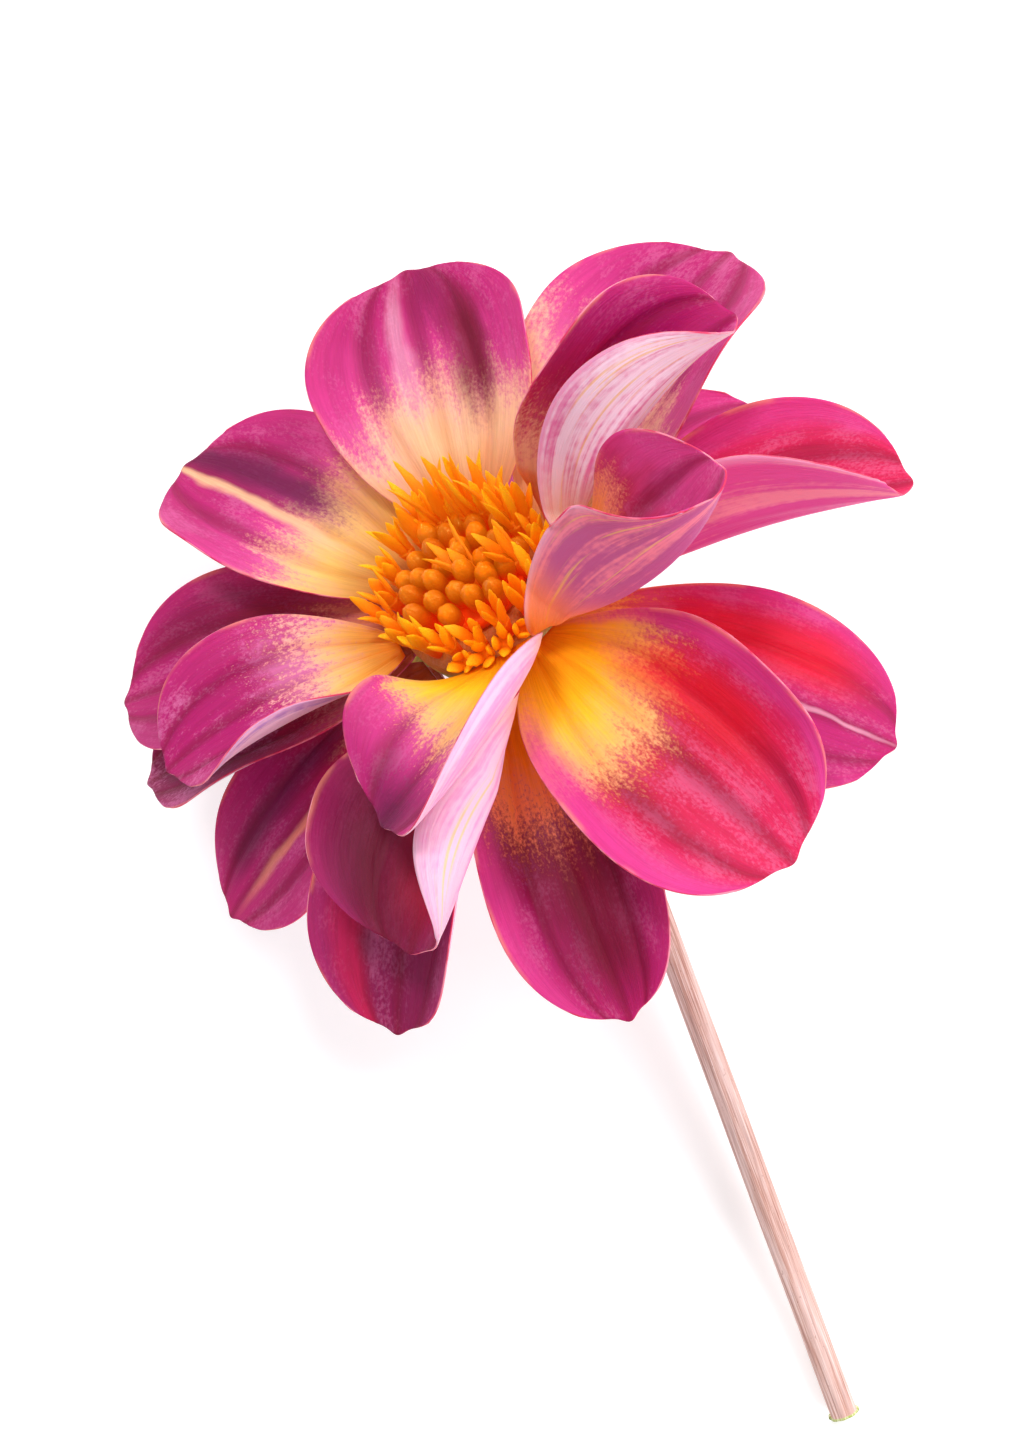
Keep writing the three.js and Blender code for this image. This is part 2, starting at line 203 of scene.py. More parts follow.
class Graph:
    """The node tree of one material."""

    def __init__(self, name: str) -> None:
        """Starts an empty material.

        Args:
            name: the material's name.
        """
        self.material = bpy.data.materials.new(name)
        self.material.use_nodes = True
        self.tree = self.material.node_tree
        self.tree.nodes.clear()

    def node(self, kind: str, settings: dict | None = None, inputs: dict | None = None,
             output: str | None = None) -> Signal:
        """Adds any node.

        Args:
            kind: the node's type.
            settings: its properties, set first; "stops" holds a colour ramp's stops.
            inputs: values or signals, by socket index, identifier or name.
            output: the name of the output wanted, or the first one.

        Returns:
            The output as a signal.
        """
        made = self.tree.nodes.new(kind)
        for name, value in (settings or {}).items():
            if name == "stops":
                self._set_stops(made.color_ramp, value)
            else:
                setattr(made, name, value)
        for key, value in (inputs or {}).items():
            by_identifier = {s.identifier: s for s in made.inputs}
            socket = made.inputs[key] if isinstance(key, int) else by_identifier.get(key) or made.inputs[key]
            if isinstance(value, Signal):
                self.tree.links.new(value.socket, socket)
            else:
                socket.default_value = value
        outputs = {s.identifier: s for s in made.outputs if s.enabled}
        return Signal(self, outputs[output] if output in outputs else next(iter(outputs.values())))

    @staticmethod
    def _set_stops(ramp: bpy.types.ColorRamp, stops: Sequence[tuple[float, Pigment]]) -> None:
        """Puts pigments on a colour ramp.

        Args:
            ramp: the ramp.
            stops: its positions, each with its pigment.
        """
        while len(ramp.elements) < len(stops):
            ramp.elements.new(1.0)
        for element, (position, pigment) in zip(ramp.elements, stops):
            element.position = position
            element.color = pigment.linear

    def attribute(self, name: str) -> tuple[Signal, Signal, Signal]:
        """The three parts of a piece's own vector attribute."""
        vector = self.node("ShaderNodeAttribute", {"attribute_name": name}, output="Vector")
        return self.parts(vector)

    def place(self) -> tuple[Signal, Signal, Signal]:
        """The three parts of the point on the object, in millimetres.

        Returns:
            The x, y and z parts.
        """
        vector = self.node("ShaderNodeTexCoord", output="Object")
        scaled = self.node("ShaderNodeVectorMath", {"operation": "SCALE"}, {0: vector, "Scale": 1 / MM})
        return self.parts(scaled)

    def parts(self, vector: Signal) -> tuple[Signal, Signal, Signal]:
        """A vector's three parts."""
        split = self.node("ShaderNodeSeparateXYZ", inputs={0: vector}).socket.node
        return tuple(Signal(self, socket) for socket in split.outputs)

    def noise(self, x: Value, y: Value, z: Value, detail: float = 2.0, roughness: float = 0.5) -> Signal:
        """Smooth noise.

        Args:
            x: first coordinate, in units of the grain.
            y: second coordinate.
            z: third coordinate.
            detail: how many finer octaves are added.
            roughness: how strong those are.

        Returns:
            The noise, about 0.5 on average.
        """
        vector = self.node("ShaderNodeCombineXYZ", inputs={0: x, 1: y, 2: z})
        inputs = {"Vector": vector, "Scale": 1.0, "Detail": detail, "Roughness": roughness}
        return self.node("ShaderNodeTexNoise", {"noise_dimensions": "3D"}, inputs)

    def mix(self, factor: Value, low: Value | Pigment, high: Value | Pigment, blend: str = "MIX") -> Signal:
        """Mixes two colours.

        Args:
            factor: 0 for the first colour, 1 for the second.
            low: the first colour.
            high: the second colour.
            blend: the blend type.

        Returns:
            The mixed colour.
        """
        low, high = (c.linear if isinstance(c, Pigment) else c for c in (low, high))
        settings = {"data_type": "RGBA", "blend_type": blend}
        inputs = {"Factor_Float": factor, "A_Color": low, "B_Color": high}
        return self.node("ShaderNodeMix", settings, inputs, output="Result_Color")

    def ramp(self, factor: Signal, *stops: tuple[float, Pigment]) -> Signal:
        """A colour ramp over a factor."""
        return self.node("ShaderNodeValToRGB", {"stops": stops}, {0: factor})

    def finish(self, color: Value, roughness: Value, height: Signal | None = None, relief: float = 0.05,
               **constants: Value) -> bpy.types.Material:
        """Ends the graph in one surface shader.

        Args:
            color: the base colour.
            roughness: the roughness.
            height: fine relief, from 0 to 1.
            relief: how deep that relief is, in millimetres.
            constants: the shader's other inputs, with _ for a space.

        Returns:
            The material.
        """
        inputs = {"Base Color": color, "Roughness": roughness}
        inputs.update({key.replace("_", " "): value for key, value in constants.items()})
        if height is not None:
            bump = {"Strength": 1.0, "Distance": relief * MM, "Height": height}
            inputs["Normal"] = self.node("ShaderNodeBump", inputs=bump)
        surface = self.node("ShaderNodeBsdfPrincipled", inputs=inputs)
        output = self.tree.nodes.new("ShaderNodeOutputMaterial")
        self.tree.links.new(surface.socket, output.inputs["Surface"])
        return self.material


# ---- petal finishes -------------------------------------------------------------------


@dataclass(frozen=True)
class Flesh:
    """How light goes into living tissue: the share that does, how far, and in what colour."""

    weight: float = 0.3
    depth: float = 1.0
    tint: tuple[float, float, float] = (1.0, 0.35, 0.3)

    def inputs(self) -> dict[str, Value]:
        """The shader's inputs for it.

        Returns:
            Values by input name, with _ for a space.
        """
        return {
            "Subsurface_Weight": self.weight,
            "Subsurface_Radius": self.tint,
            "Subsurface_Scale": self.depth * MM,
        }


@dataclass(frozen=True)
class Band:
    """A lengthwise band of another pigment on a petal.

    Attributes:
        pigment: its colour.
        side: where it runs, from -1 at the clockwise edge to 1 at the other.
        width: how far it fades out to each side.
        start: share of the length where it begins.
        end: share of the length where it ends.
        strength: how fully it covers.
    """

    pigment: Pigment
    side: float
    width: float
    start: float
    end: float
    strength: float = 0.85


@dataclass(frozen=True)
class PetalPaint:
    """How one petal is coloured on both its faces.

    Attributes:
        root: colour at the very base.
        base: colour of the lower part.
        pale: colour where the lower part meets the stain.
        near: colour of the stain where it begins.
        far: colour of the stain towards the tip.
        reach: share of the length where the stain begins, at the clockwise edge, middle and other edge.
        speckle: how far single dots of the stain stray down the petal.
        streak: how far whole veins of it do.
        bloom_and_sheen: how strongly paler mottling shows on the stain; it is partly painted sheen.
        bands: bands over all that.
        back: the back's ground colour.
        veins: the back's vein colour.
        vein_cover: how much of the back the veins take up.
    """

    root: Pigment = Pigment.ORANGE
    base: Pigment = Pigment.STRAW
    pale: Pigment = Pigment.CREAM
    near: Pigment = Pigment.ROSE
    far: Pigment = Pigment.MAGENTA
    reach: tuple[float, float, float] = (0.35, 0.5, 0.35)
    speckle: float = 0.22
    streak: float = 0.3
    bloom_and_sheen: float = 0.25
    bands: tuple[Band, ...] = ()
    back: Pigment = Pigment.PALE_PINK
    veins: Pigment = Pigment.MAUVE
    vein_cover: float = 0.5


class PetalFinish:
    """The three materials of one petal: its face, its back and its rim."""

    FLESH = Flesh()
    RIBS = 16
    SEED_STEP = 7.3
    VALLEY_SIDE = 0.46
    FACE_RELIEF = 0.09
    BACK_RELIEF = 0.12
    BACK_ROUGHNESS = 0.5

    def __init__(self, name: str, paint: PetalPaint, seed: int) -> None:
        """Takes what sets one petal apart.

        Args:
            name: the petal's name.
            paint: its paint.
            seed: a number that sets its grain apart from the others.
        """
        self.name = name
        self.paint = paint
        self.seed = seed * self.SEED_STEP

    def materials(self) -> list[bpy.types.Material]:
        """The face, back and rim materials, in that order."""
        return [self.face(), self.back(), self.rim()]

    def _ribs(self, graph: Graph, side: Signal, along: Signal) -> Signal:
        """Fine lengthwise ribs with a cell grain over them.

        Args:
            graph: the material's graph.
            side: from -1 to 1 across the petal.
            along: share of its length.

        Returns:
            The relief, from 0 to 1.
        """
        wander = graph.noise(side * 3, along * 2, self.seed)
        ribs = (side * (math.pi * self.RIBS) + wander * 5).wave()
        fibres = graph.noise(side * 55, along * 9, self.seed, detail=3)
        return ribs * 0.1 + fibres * 0.9

    def face(self) -> bpy.types.Material:
        """The face: base colour, stain with its speckled edge, bands and a pale margin, with painted shade
        along its grooves and ribs and a painted sheen towards its edges.

        Returns:
            The material.
        """
        paint = self.paint
        graph = Graph(f"{self.name}_face")
        side, along, _ = graph.attribute("blade")
        grain_x, grain_y, _ = graph.attribute("grain")
        streaks = graph.noise(side * 7, along * 1.4, self.seed, detail=3)
        dots = graph.noise(grain_x * 3.2, grain_y * 2.0, self.seed, detail=4, roughness=0.66)
        clouds = graph.noise(grain_x * 0.28, grain_y * 0.16, self.seed + 3, detail=2)

        clockwise, middle, other = paint.reach
        reach = (side * -1).at_least(0) ** 1.5 * (clockwise - middle) \
            + side.at_least(0) ** 1.5 * (other - middle) + middle
        margin = along - reach + (streaks - 0.5) * paint.streak + (clouds - 0.5) * 0.25
        stain = (margin + (dots - 0.5) * paint.speckle * 2).step(-0.13, 0.11)
        # Mask of painted shade along the two grooves and the midrib.
        groove_shade = abs(abs(side) - self.VALLEY_SIDE + (clouds - 0.5) * 0.12).step(0.16, 0.0) \
            + abs(side).step(0.13, 0.0)

        ground = graph.ramp(along, (0.0, paint.root), (0.3, paint.base), (0.62, paint.pale))
        # Painted shade in the grooves of the lower part, in the root colour.
        ground = graph.mix(groove_shade * 0.3, ground, paint.root)
        ground = graph.mix((margin + dots * 0.2 - 0.1).step(-0.3, 0.0) * paint.bloom_and_sheen, ground, Pigment.BLUSH)
        deep = graph.mix(margin.step(-0.05, 0.4), paint.near, paint.far)
        # Pale blush mottling on the stain: partly the petal's own paler speckling, partly painted sheen.
        mottle = (clouds * 0.4 + streaks * 0.2 + dots * 0.4).step(0.48, 0.62) * paint.bloom_and_sheen
        deep = graph.mix(mottle, deep, Pigment.BLUSH)
        # Lighter pink towards both edges: partly the petal's paler margins, partly painted sheen.
        deep = graph.mix(abs(side).step(0.5, 1.0) * 0.4, deep, Pigment.PINK)
        # Painted shade in the grooves of the stain, in wine, stronger towards the tip.
        deep = graph.mix(groove_shade * along.step(0.2, 0.6) * 0.5, deep, Pigment.WINE)
        color = graph.mix(stain, ground, deep)
        for band in paint.bands:
            color = graph.mix(self._cover(band, side, along, clouds, dots), color, band.pigment)
        shade = self._ribs(graph, side, along)
        color = graph.mix(shade.step(0.66, 0.3) * 0.14, color, Pigment.WINE, blend="MULTIPLY")
        margin_line = abs(side).step(0.94, 1.0) * clouds.step(0.42, 0.6) * 0.45
        color = graph.mix(margin_line, color, Pigment.PEACH)
        roughness = 0.46 + dots * 0.16
        return graph.finish(color, roughness, height=shade * 0.7 + dots * 0.3, relief=self.FACE_RELIEF,
                            Specular_IOR_Level=SOFT_SPECULAR, **self.FLESH.inputs())

    @staticmethod
    def _cover(band: Band, side: Signal, along: Signal, clouds: Signal, dots: Signal) -> Signal:
        """How fully a band covers each point.

        Args:
            band: the band.
            side: from -1 to 1 across the petal.
            along: share of its length.
            clouds: broad noise that bends its edges.
            dots: fine noise that roughens its start.

        Returns:
            The cover, from 0 to 1.
        """
        off = abs(side - band.side + (clouds - 0.5) * 0.22)
        across = off.step(band.width, band.width * 0.15)
        starts = (along + (dots - 0.5) * 0.2).step(band.start - 0.14, band.start + 0.14)
        ends = along.step(band.end + 0.14, band.end - 0.14)
        return across * starts * ends * band.strength

    def back(self) -> bpy.types.Material:
        """The back: pale, with coloured veins that run the petal's length.

        Returns:
            The material.
        """
        paint = self.paint
        graph = Graph(f"{self.name}_back")
        side, along, _ = graph.attribute("blade")
        grain_x, grain_y, _ = graph.attribute("grain")
        broad = graph.noise(side * 6.5, along * 0.9, self.seed + 11, detail=3)
        fine = graph.noise(side * 30, along * 2.0, self.seed + 5, detail=2)
        dots = graph.noise(grain_x * 1.6, grain_y * 1.0, self.seed, detail=2)
        veins = broad * 0.65 + fine * 0.35 + (dots - 0.5) * 0.15
        low = 0.7 - 0.5 * paint.vein_cover
        stained = veins.step(low, low + 0.16) * along.step(0.0, 0.45)
        color = graph.mix(stained * 0.85, paint.back, paint.veins)
        creamy = fine.step(0.54, 0.66) * broad.step(0.5, 0.4) * 0.6
        color = graph.mix(creamy, color, Pigment.STRAW)
        root = along.step(0.42, 0.05) * 0.9
        color = graph.mix(root, color, paint.base)
        edge = abs(side).step(0.9, 1.0) * 0.5
        color = graph.mix(edge, color, Pigment.PALE_PINK)
        shade = self._ribs(graph, side, along)
        return graph.finish(color, self.BACK_ROUGHNESS, height=shade, relief=self.BACK_RELIEF,
                            Specular_IOR_Level=SOFT_SPECULAR, **self.FLESH.inputs())

    def rim(self) -> bpy.types.Material:
        """The thin rim between the two faces.

        Returns:
            The material.
        """
        graph = Graph(f"{self.name}_rim")
        grain_x, grain_y, _ = graph.attribute("grain")
        patches = graph.noise(grain_x * 0.3, grain_y * 0.3, self.seed)
        color = graph.mix(patches.step(0.4, 0.6), Pigment.SALMON, Pigment.ROSE)
        return graph.finish(color, self.BACK_ROUGHNESS, **self.FLESH.inputs())


# ---- other finishes -------------------------------------------------------------------


class DiscFinish(Enum):
    """The finishes of the disc's pieces."""

    BUD = "bud_gloss"
    FLORET = "floret_skin"

    def material(self) -> bpy.types.Material:
        """Builds the finish.

        Returns:
            The material.
        """
        graph = Graph(self.value)
        age, height, _ = graph.attribute("growth")
        x, y, z = graph.place()
        grain = graph.noise(x * 5, y * 5, z * 5, detail=2)
        # Painted glow: orange emission, redder low down, lights the buds and florets from within and lifts
        # their shade.
        painted_glow = {"Emission_Color": graph.mix(height.step(0.8, 0.15), Pigment.ORANGE, Pigment.FLAME),
                "Emission_Strength": DISC_PAINTED_GLOW}
        if self is DiscFinish.BUD:
            color = graph.ramp(height + (age - 0.5) * 0.3, (0.1, Pigment.FLAME), (0.55, Pigment.RUST),
                               (0.9, Pigment.AMBER), (1.0, Pigment.GLOW))
            soft = Flesh(weight=0.35, depth=0.8, tint=(1.0, 0.4, 0.1))
            return graph.finish(color, 0.05 + grain * 0.05, height=grain, relief=0.1, Specular_IOR_Level=0.8,
                                Specular_Tint=Pigment.STRAW.linear, **painted_glow, **soft.inputs())
        pollen = graph.noise(x * 11, y * 11, z * 11, detail=1)
        color = graph.ramp(height + (age - 0.5) * 0.25, (0.1, Pigment.FLAME), (0.5, Pigment.GLOW),
                           (0.72, Pigment.ORANGE), (1.0, Pigment.YELLOW))
        color = graph.mix(pollen.step(0.58, 0.46) * height.step(0.4, 0.8) * 0.4, color, Pigment.GLOW)
        soft = Flesh(weight=0.3, depth=0.6, tint=(1.0, 0.45, 0.1))
        return graph.finish(color, 0.5, height=pollen * 0.7 + grain * 0.3, relief=0.12,
                            Specular_IOR_Level=SOFT_SPECULAR, **painted_glow, **soft.inputs())


class GreenFinish(Enum):
    """The finishes under the head."""

    RECEPTACLE = "receptacle_skin"
    PHYLLARY = "phyllary_film"
    LEAFY = "leafy_bract_skin"

    def material(self) -> bpy.types.Material:
        """Builds the finish.

        Returns:
            The material.
        """
        graph = Graph(self.value)
        x, y, z = graph.place()
        grain = graph.noise(x * 2.2, y * 2.2, z * 2.2, detail=4)
        if self is GreenFinish.RECEPTACLE:
            _, height, _ = graph.attribute("growth")
            color = graph.ramp(grain, (0.3, Pigment.BARK), (0.5, Pigment.OLIVE), (0.7, Pigment.LIME))
            color = graph.mix((height + grain * 2).step(-3.0, 0.0), color, Pigment.AMBER)
            return graph.finish(color, 0.5, height=grain, relief=0.3, **Flesh(weight=0.15).inputs())
        side, along, _ = graph.attribute("blade")
        fibres = graph.noise(side * 26, along * 2.5, 4.0, detail=3)
        ribs = (side * (math.pi * 9) + grain * 2).wave()
        if self is GreenFinish.PHYLLARY:
            color = graph.ramp(along + (fibres - 0.5) * 0.4, (0.1, Pigment.OLIVE), (0.5, Pigment.LIME),
                               (0.9, Pigment.STRAW))
            color = graph.mix(abs(side).step(0.8, 1.0) * 0.6, color, Pigment.CREAM)
        else:
            color = graph.ramp(fibres * 0.5 + along * 0.5, (0.2, Pigment.LIME), (0.5, Pigment.LEAF),
                               (0.85, Pigment.OLIVE))
            color = graph.mix(abs(side).step(0.12, 0.02) * 0.5, color, Pigment.LIME)
        return graph.finish(color, 0.48, height=ribs * 0.5 + fibres * 0.5, relief=0.12,
                            **Flesh(weight=0.25, tint=(0.7, 1.0, 0.3)).inputs())


class StemFinish(Enum):
    """The finishes of the stem: its skin and its cut end."""

    SKIN = "stem_skin"
    CUT = "stem_cut"

    def material(self) -> bpy.types.Material:
        """Builds the finish.

        Returns:
            The material.
        """
        graph = Graph(self.value)
        across, up, along = graph.attribute("fibre")
        if self is StemFinish.CUT:
            cells = graph.noise(across * 9, up * 9, 1.0, detail=3)
            color = graph.mix(cells.step(0.4, 0.62), Pigment.PITH, Pigment.LIME)
            return graph.finish(color, 0.6, height=cells, relief=0.1)
        fibres = graph.noise(across * 9, up * 9, along * 0.12, detail=4, roughness=0.6)
        patches = graph.noise(across * 1.2, up * 1.2, along * 0.05, detail=2)
        fleck = graph.noise(across * 6, up * 6, along * 1.6, detail=2)
        color = graph.ramp(fibres, (0.3, Pigment.ROSEWOOD), (0.5, Pigment.TAN), (0.68, Pigment.SHELL))
        color = graph.mix(patches.step(0.45, 0.65) * 0.45, color, Pigment.SHELL)
        color = graph.mix(fleck.step(0.66, 0.74) * 0.5, color, Pigment.ROSEWOOD)
        green = along.step(20.0, 2.0) * 0.5
        color = graph.mix(green, color, Pigment.OLIVE)
        return graph.finish(color, 0.45 + fleck * 0.15, height=fibres, relief=0.18,
                            **Flesh(weight=0.2, tint=(1.0, 0.7, 0.5)).inputs())


class FloorFinish:
    """A plain pale surface."""

    @staticmethod
    def material() -> bpy.types.Material:
        """Builds the finish.

        Returns:
            The material.
        """
        graph = Graph("floor")
        x, y, _ = graph.place()
        grain = graph.noise(x * 0.2, y * 0.2, 0.0)
        return graph.finish(Pigment.PAPER.linear, 0.85 + grain * 0.1, Emission_Color=Pigment.PAPER.linear,
                            Emission_Strength=FLOOR_GLOW)


# ---- forms ----------------------------------------------------------------------------


class Form:
    """A mesh being shaped, which ends as one finished piece."""

    def __init__(self, *notes: str) -> None:
        """Starts an empty mesh.

        Args:
            *notes: the names of the vector attributes that its vertices carry.
        """
        self.mesh = bmesh.new()
        layers = self.mesh.verts.layers
        self.deform = layers.deform.verify()
        self.notes = {name: layers.float_vector.new(name) for name in notes}

    def grid(self, columns: int, rows: int) -> list[bmesh.types.BMVert]:
        """Adds a flat grid from -1 to 1 each way, face down.

        Args:
            columns: faces along x.
            rows: faces along y.

        Returns:
            Its vertices.
        """
        made = bmesh.ops.create_grid(self.mesh, x_segments=columns, y_segments=rows, size=1)
        faces = {face for vert in made["verts"] for face in vert.link_faces}
        bmesh.ops.reverse_faces(self.mesh, faces=list(faces))
        return made["verts"]

    def tube(self, sides: int, steps: int) -> list[bmesh.types.BMVert]:
        """Adds a capped tube of radius 1 along +Z, with a ring at each whole height.

        Args:
            sides: vertices in a ring.
            steps: rings after the first.

        Returns:
            Its vertices.
        """
        mesh = self.mesh
        start = bmesh.ops.create_circle(mesh, cap_ends=True, radius=1, segments=sides)["verts"]
        found = list(start)
        ring = list({edge for vert in start for edge in vert.link_edges})
        for _ in range(steps):
            made = bmesh.ops.extrude_edge_only(mesh, edges=ring)["geom"]
            verts = [item for item in made if isinstance(item, bmesh.types.BMVert)]
            bmesh.ops.translate(mesh, verts=verts, vec=(0, 0, 1))
            level = set(verts)
            ring = [item for item in made
                    if isinstance(item, bmesh.types.BMEdge) and set(item.verts) <= level]
            found += verts
        bmesh.ops.contextual_create(mesh, geom=ring)
        faces = list({face for vert in found for face in vert.link_faces})
        bmesh.ops.recalc_face_normals(mesh, faces=faces)
        return found

    def turned(self, outline: Sequence[tuple[float, float]], sides: int) -> list[bmesh.types.BMVert]:
        """Adds a shape turned about +Z.

        Args:
            outline: points of (radius, height), from bottom to top, both ends on the axis.
            sides: steps round the axis.

        Returns:
            Its vertices.
        """
        mesh = self.mesh
        verts = [mesh.verts.new((radius, 0, height)) for radius, height in outline]
        edges = [mesh.edges.new(pair) for pair in zip(verts, verts[1:])]
        before = set(mesh.verts) - set(verts)
        bmesh.ops.spin(mesh, geom=verts + edges, axis=(0, 0, 1), cent=(0, 0, 0), angle=2 * math.pi,
                       steps=sides, use_merge=True)
        found = [vert for vert in mesh.verts if vert not in before]
        bmesh.ops.remove_doubles(mesh, verts=found, dist=1e-5)
        found = [vert for vert in mesh.verts if vert not in before]
        faces = list({face for vert in found for face in vert.link_faces})
        bmesh.ops.recalc_face_normals(mesh, faces=faces)
        return found

    def note(self, name: str, values: dict[bmesh.types.BMVert, Sequence[float]]) -> None:
        """Writes a vector attribute on some vertices."""
        for vert, value in values.items():
            vert[self.notes[name]] = value

    def thin(self, weights: dict[bmesh.types.BMVert, float]) -> None:
        """Gives each vertex its share of the wall's thickness."""
        for vert, weight in weights.items():
            vert[self.deform][0] = weight

    def piece(self, name: str, place: Matrix, materials: Sequence[bpy.types.Material], slot: str,
              *nodes: str) -> bpy.types.Object:
        """Ends the form as one piece of the flower.

        Args:
            name: the piece's name.
            place: carries the mesh into the row frame.
            materials: its materials.
            slot: the record's material slot; not used.
            nodes: the CAD nodes that it stands for.

        Returns:
            The piece.
        """
        bmesh.ops.transform(self.mesh, matrix=place, verts=self.mesh.verts)
        for face in self.mesh.faces:
            face.smooth = True
        data = bpy.data.meshes.new(name)
        self.mesh.to_mesh(data)
        self.mesh.free()
        for material in materials:
            data.materials.append(material)
        made = bpy.data.objects.new(name, data)
        bpy.context.scene.collection.objects.link(made)
        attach(made, BODY)
        if nodes:
            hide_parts(*nodes)
        LOG.info("%s: %d faces", name, len(data.polygons))
        return made


# ---- blades: petals and bracts --------------------------------------------------------


@dataclass(frozen=True)
class Outline:
    """A blade's outline: the claw's share of the width, where it is broadest, and its nib."""

    claw: float
    belly: float
    nib: float
    SUPER: float = 2.2
    EDGE_END: float = 0.955

    def half_width(self, along: float) -> float:
        """Half the width at a point along the blade.

        Args:
            along: share of the length.

        Returns:
            The half width, as a share of the greatest.
        """
        if along < self.belly:
            return self.claw + (1 - self.claw) * math.sin(math.pi / 2 * along / self.belly) ** 0.85
        return math.sqrt(max(0.0, 1 - ((along - self.belly) / (1 - self.belly)) ** self.SUPER))

    def tip_at(self, across: float) -> float:
        """Where the tip's edge lies along the blade, at a share of the half width."""
        arc = self.belly + (1 - self.belly) * (1 - across * across) ** (1 / self.SUPER)
        return arc + self.nib * math.exp(-((across / 0.1) ** 2))


@dataclass(frozen=True)
class Blade:
    """The middle surface of one petal or bract, in the head's frame.

    Attributes:
        outline: its outline.
        at: azimuth in degrees.
        length: length in millimetres.
        width: greatest width in millimetres.
        rise: degrees that the midrib climbs at its base, middle and tip.
        cup: degrees that the clockwise and the counterclockwise edge curl up.
        seat: radius and height of its base.
        crease: degrees that each side folds up beside the midrib.
        grow: how many times stronger both are at the tip.
        sway: degrees that the midrib turns sideways.
        roll: degrees that the blade turns over.
    """

    outline: Outline
    at: float
    length: float
    width: float
    rise: tuple[float, float, float]
    cup: tuple[float, float]
    seat: tuple[float, float]
    crease: tuple[float, float] = (0.0, 0.0)
    grow: float = 1.0
    sway: float = 0.0
    roll: float = 0.0

    MIDRIB_STEPS = 60
    ARC_STEPS = 12
    KEEL_ANGLE = 6.0
    KEEL_SHARE = 0.12
    CREASE_SHARE = 0.3
    CREASE_START = 0.2

    def climb(self, along: float) -> float:
        """The midrib's climb at a point along it.

        Args:
            along: share of its length.

        Returns:
            The climb in radians.
        """
        base, middle, tip = self.rise
        share = min(along, 1.0)
        return math.radians(base * (1 - share) * (1 - 2 * share) + 4 * middle * share * (1 - share)
                            + tip * share * (2 * share - 1))

    @cached_property
    def midrib(self) -> list[Vector]:
        """Points along the midrib, a little past its tip.

        Returns:
            The points, in millimetres, from the blade's base.
        """
        points = [Vector()]
        for i in range(self.MIDRIB_STEPS + 4):
            along = (i + 0.5) / self.MIDRIB_STEPS
            climb = self.climb(along)
            turn = math.radians(self.sway) * along
            level = math.cos(climb)
            forward = Vector((level * math.cos(turn), level * math.sin(turn), math.sin(climb)))
            points.append(points[-1] + forward * (self.length / self.MIDRIB_STEPS))
        return points

    def along(self, out: float, side: float) -> float:
        """The share of the length at a share of the way out, on a side from -1 to 1."""
        return out * self.outline.tip_at(side * self.outline.half_width(Outline.EDGE_END))

    def across(self, out: float, side: float) -> float:
        """The share of the half width at a share of the way out, on a side from -1 to 1."""
        return side * self.outline.half_width(out * Outline.EDGE_END)

    def point(self, out: float, side: float) -> Vector:
        """A point of the surface.

        Args:
            out: share of the way from the base to the tip's edge.
            side: from -1 at the clockwise edge to 1 at the other.

        Returns:
            The point in the head's frame.
        """
        across = self.across(out, side)
        along = self.along(out, side)
        index = min(int(along * self.MIDRIB_STEPS), len(self.midrib) - 2)
        point = self.midrib[index].lerp(self.midrib[index + 1], along * self.MIDRIB_STEPS - index)
        climb = self.climb(along)
        turn = math.radians(self.sway) * along
        over = math.radians(self.roll)
        level = Vector((-math.sin(turn), math.cos(turn), 0))
        heading = Vector((math.cos(turn), math.sin(turn), 0))
        above = Vector((0, 0, math.cos(climb))) - heading * math.sin(climb)
        lateral = level * math.cos(over) + above * math.sin(over)
        upward = above * math.cos(over) - level * math.sin(over)
        sideways, lifted = self._arc(across, along)
        reach = abs(across) * self.width / 2 / self.ARC_STEPS
        point += lateral * (math.copysign(sideways, across) * reach) + upward * (lifted * reach)
        radius, height = self.seat
        point += Vector((radius, 0, height))
        point.rotate(Matrix.Rotation(math.radians(self.at), 3, "Z"))
        return point

    def _arc(self, across: float, along: float) -> tuple[float, float]:
        """How far the cross-section has gone, in steps of its arc.

        Args:
            across: share of the half width, with its sign.
            along: share of the length.

        Returns:
            The way sideways and the way up.
        """
        late = 1 + (self.grow - 1) * max(0.0, 2 * along - 1)
        strength = (0.75 + 0.25 * math.sin(math.pi * min(1.0, along))) * late
        hand = 0 if across < 0 else 1
        curl = self.cup[hand] * strength
        fold = self.crease[hand] * strength * min(1.0, along / self.CREASE_START)
        sideways = lifted = 0.0
        for i in range(self.ARC_STEPS):
            share = (i + 0.5) / self.ARC_STEPS * abs(across)
            lean = math.radians(
                self.KEEL_ANGLE * min(1.0, share / self.KEEL_SHARE)
                + fold * min(1.0, share / self.CREASE_SHARE)
                + curl * (0.45 * share + 0.55 * share ** 3))
            sideways += math.cos(lean)
            lifted += math.sin(lean)
        return sideways, lifted


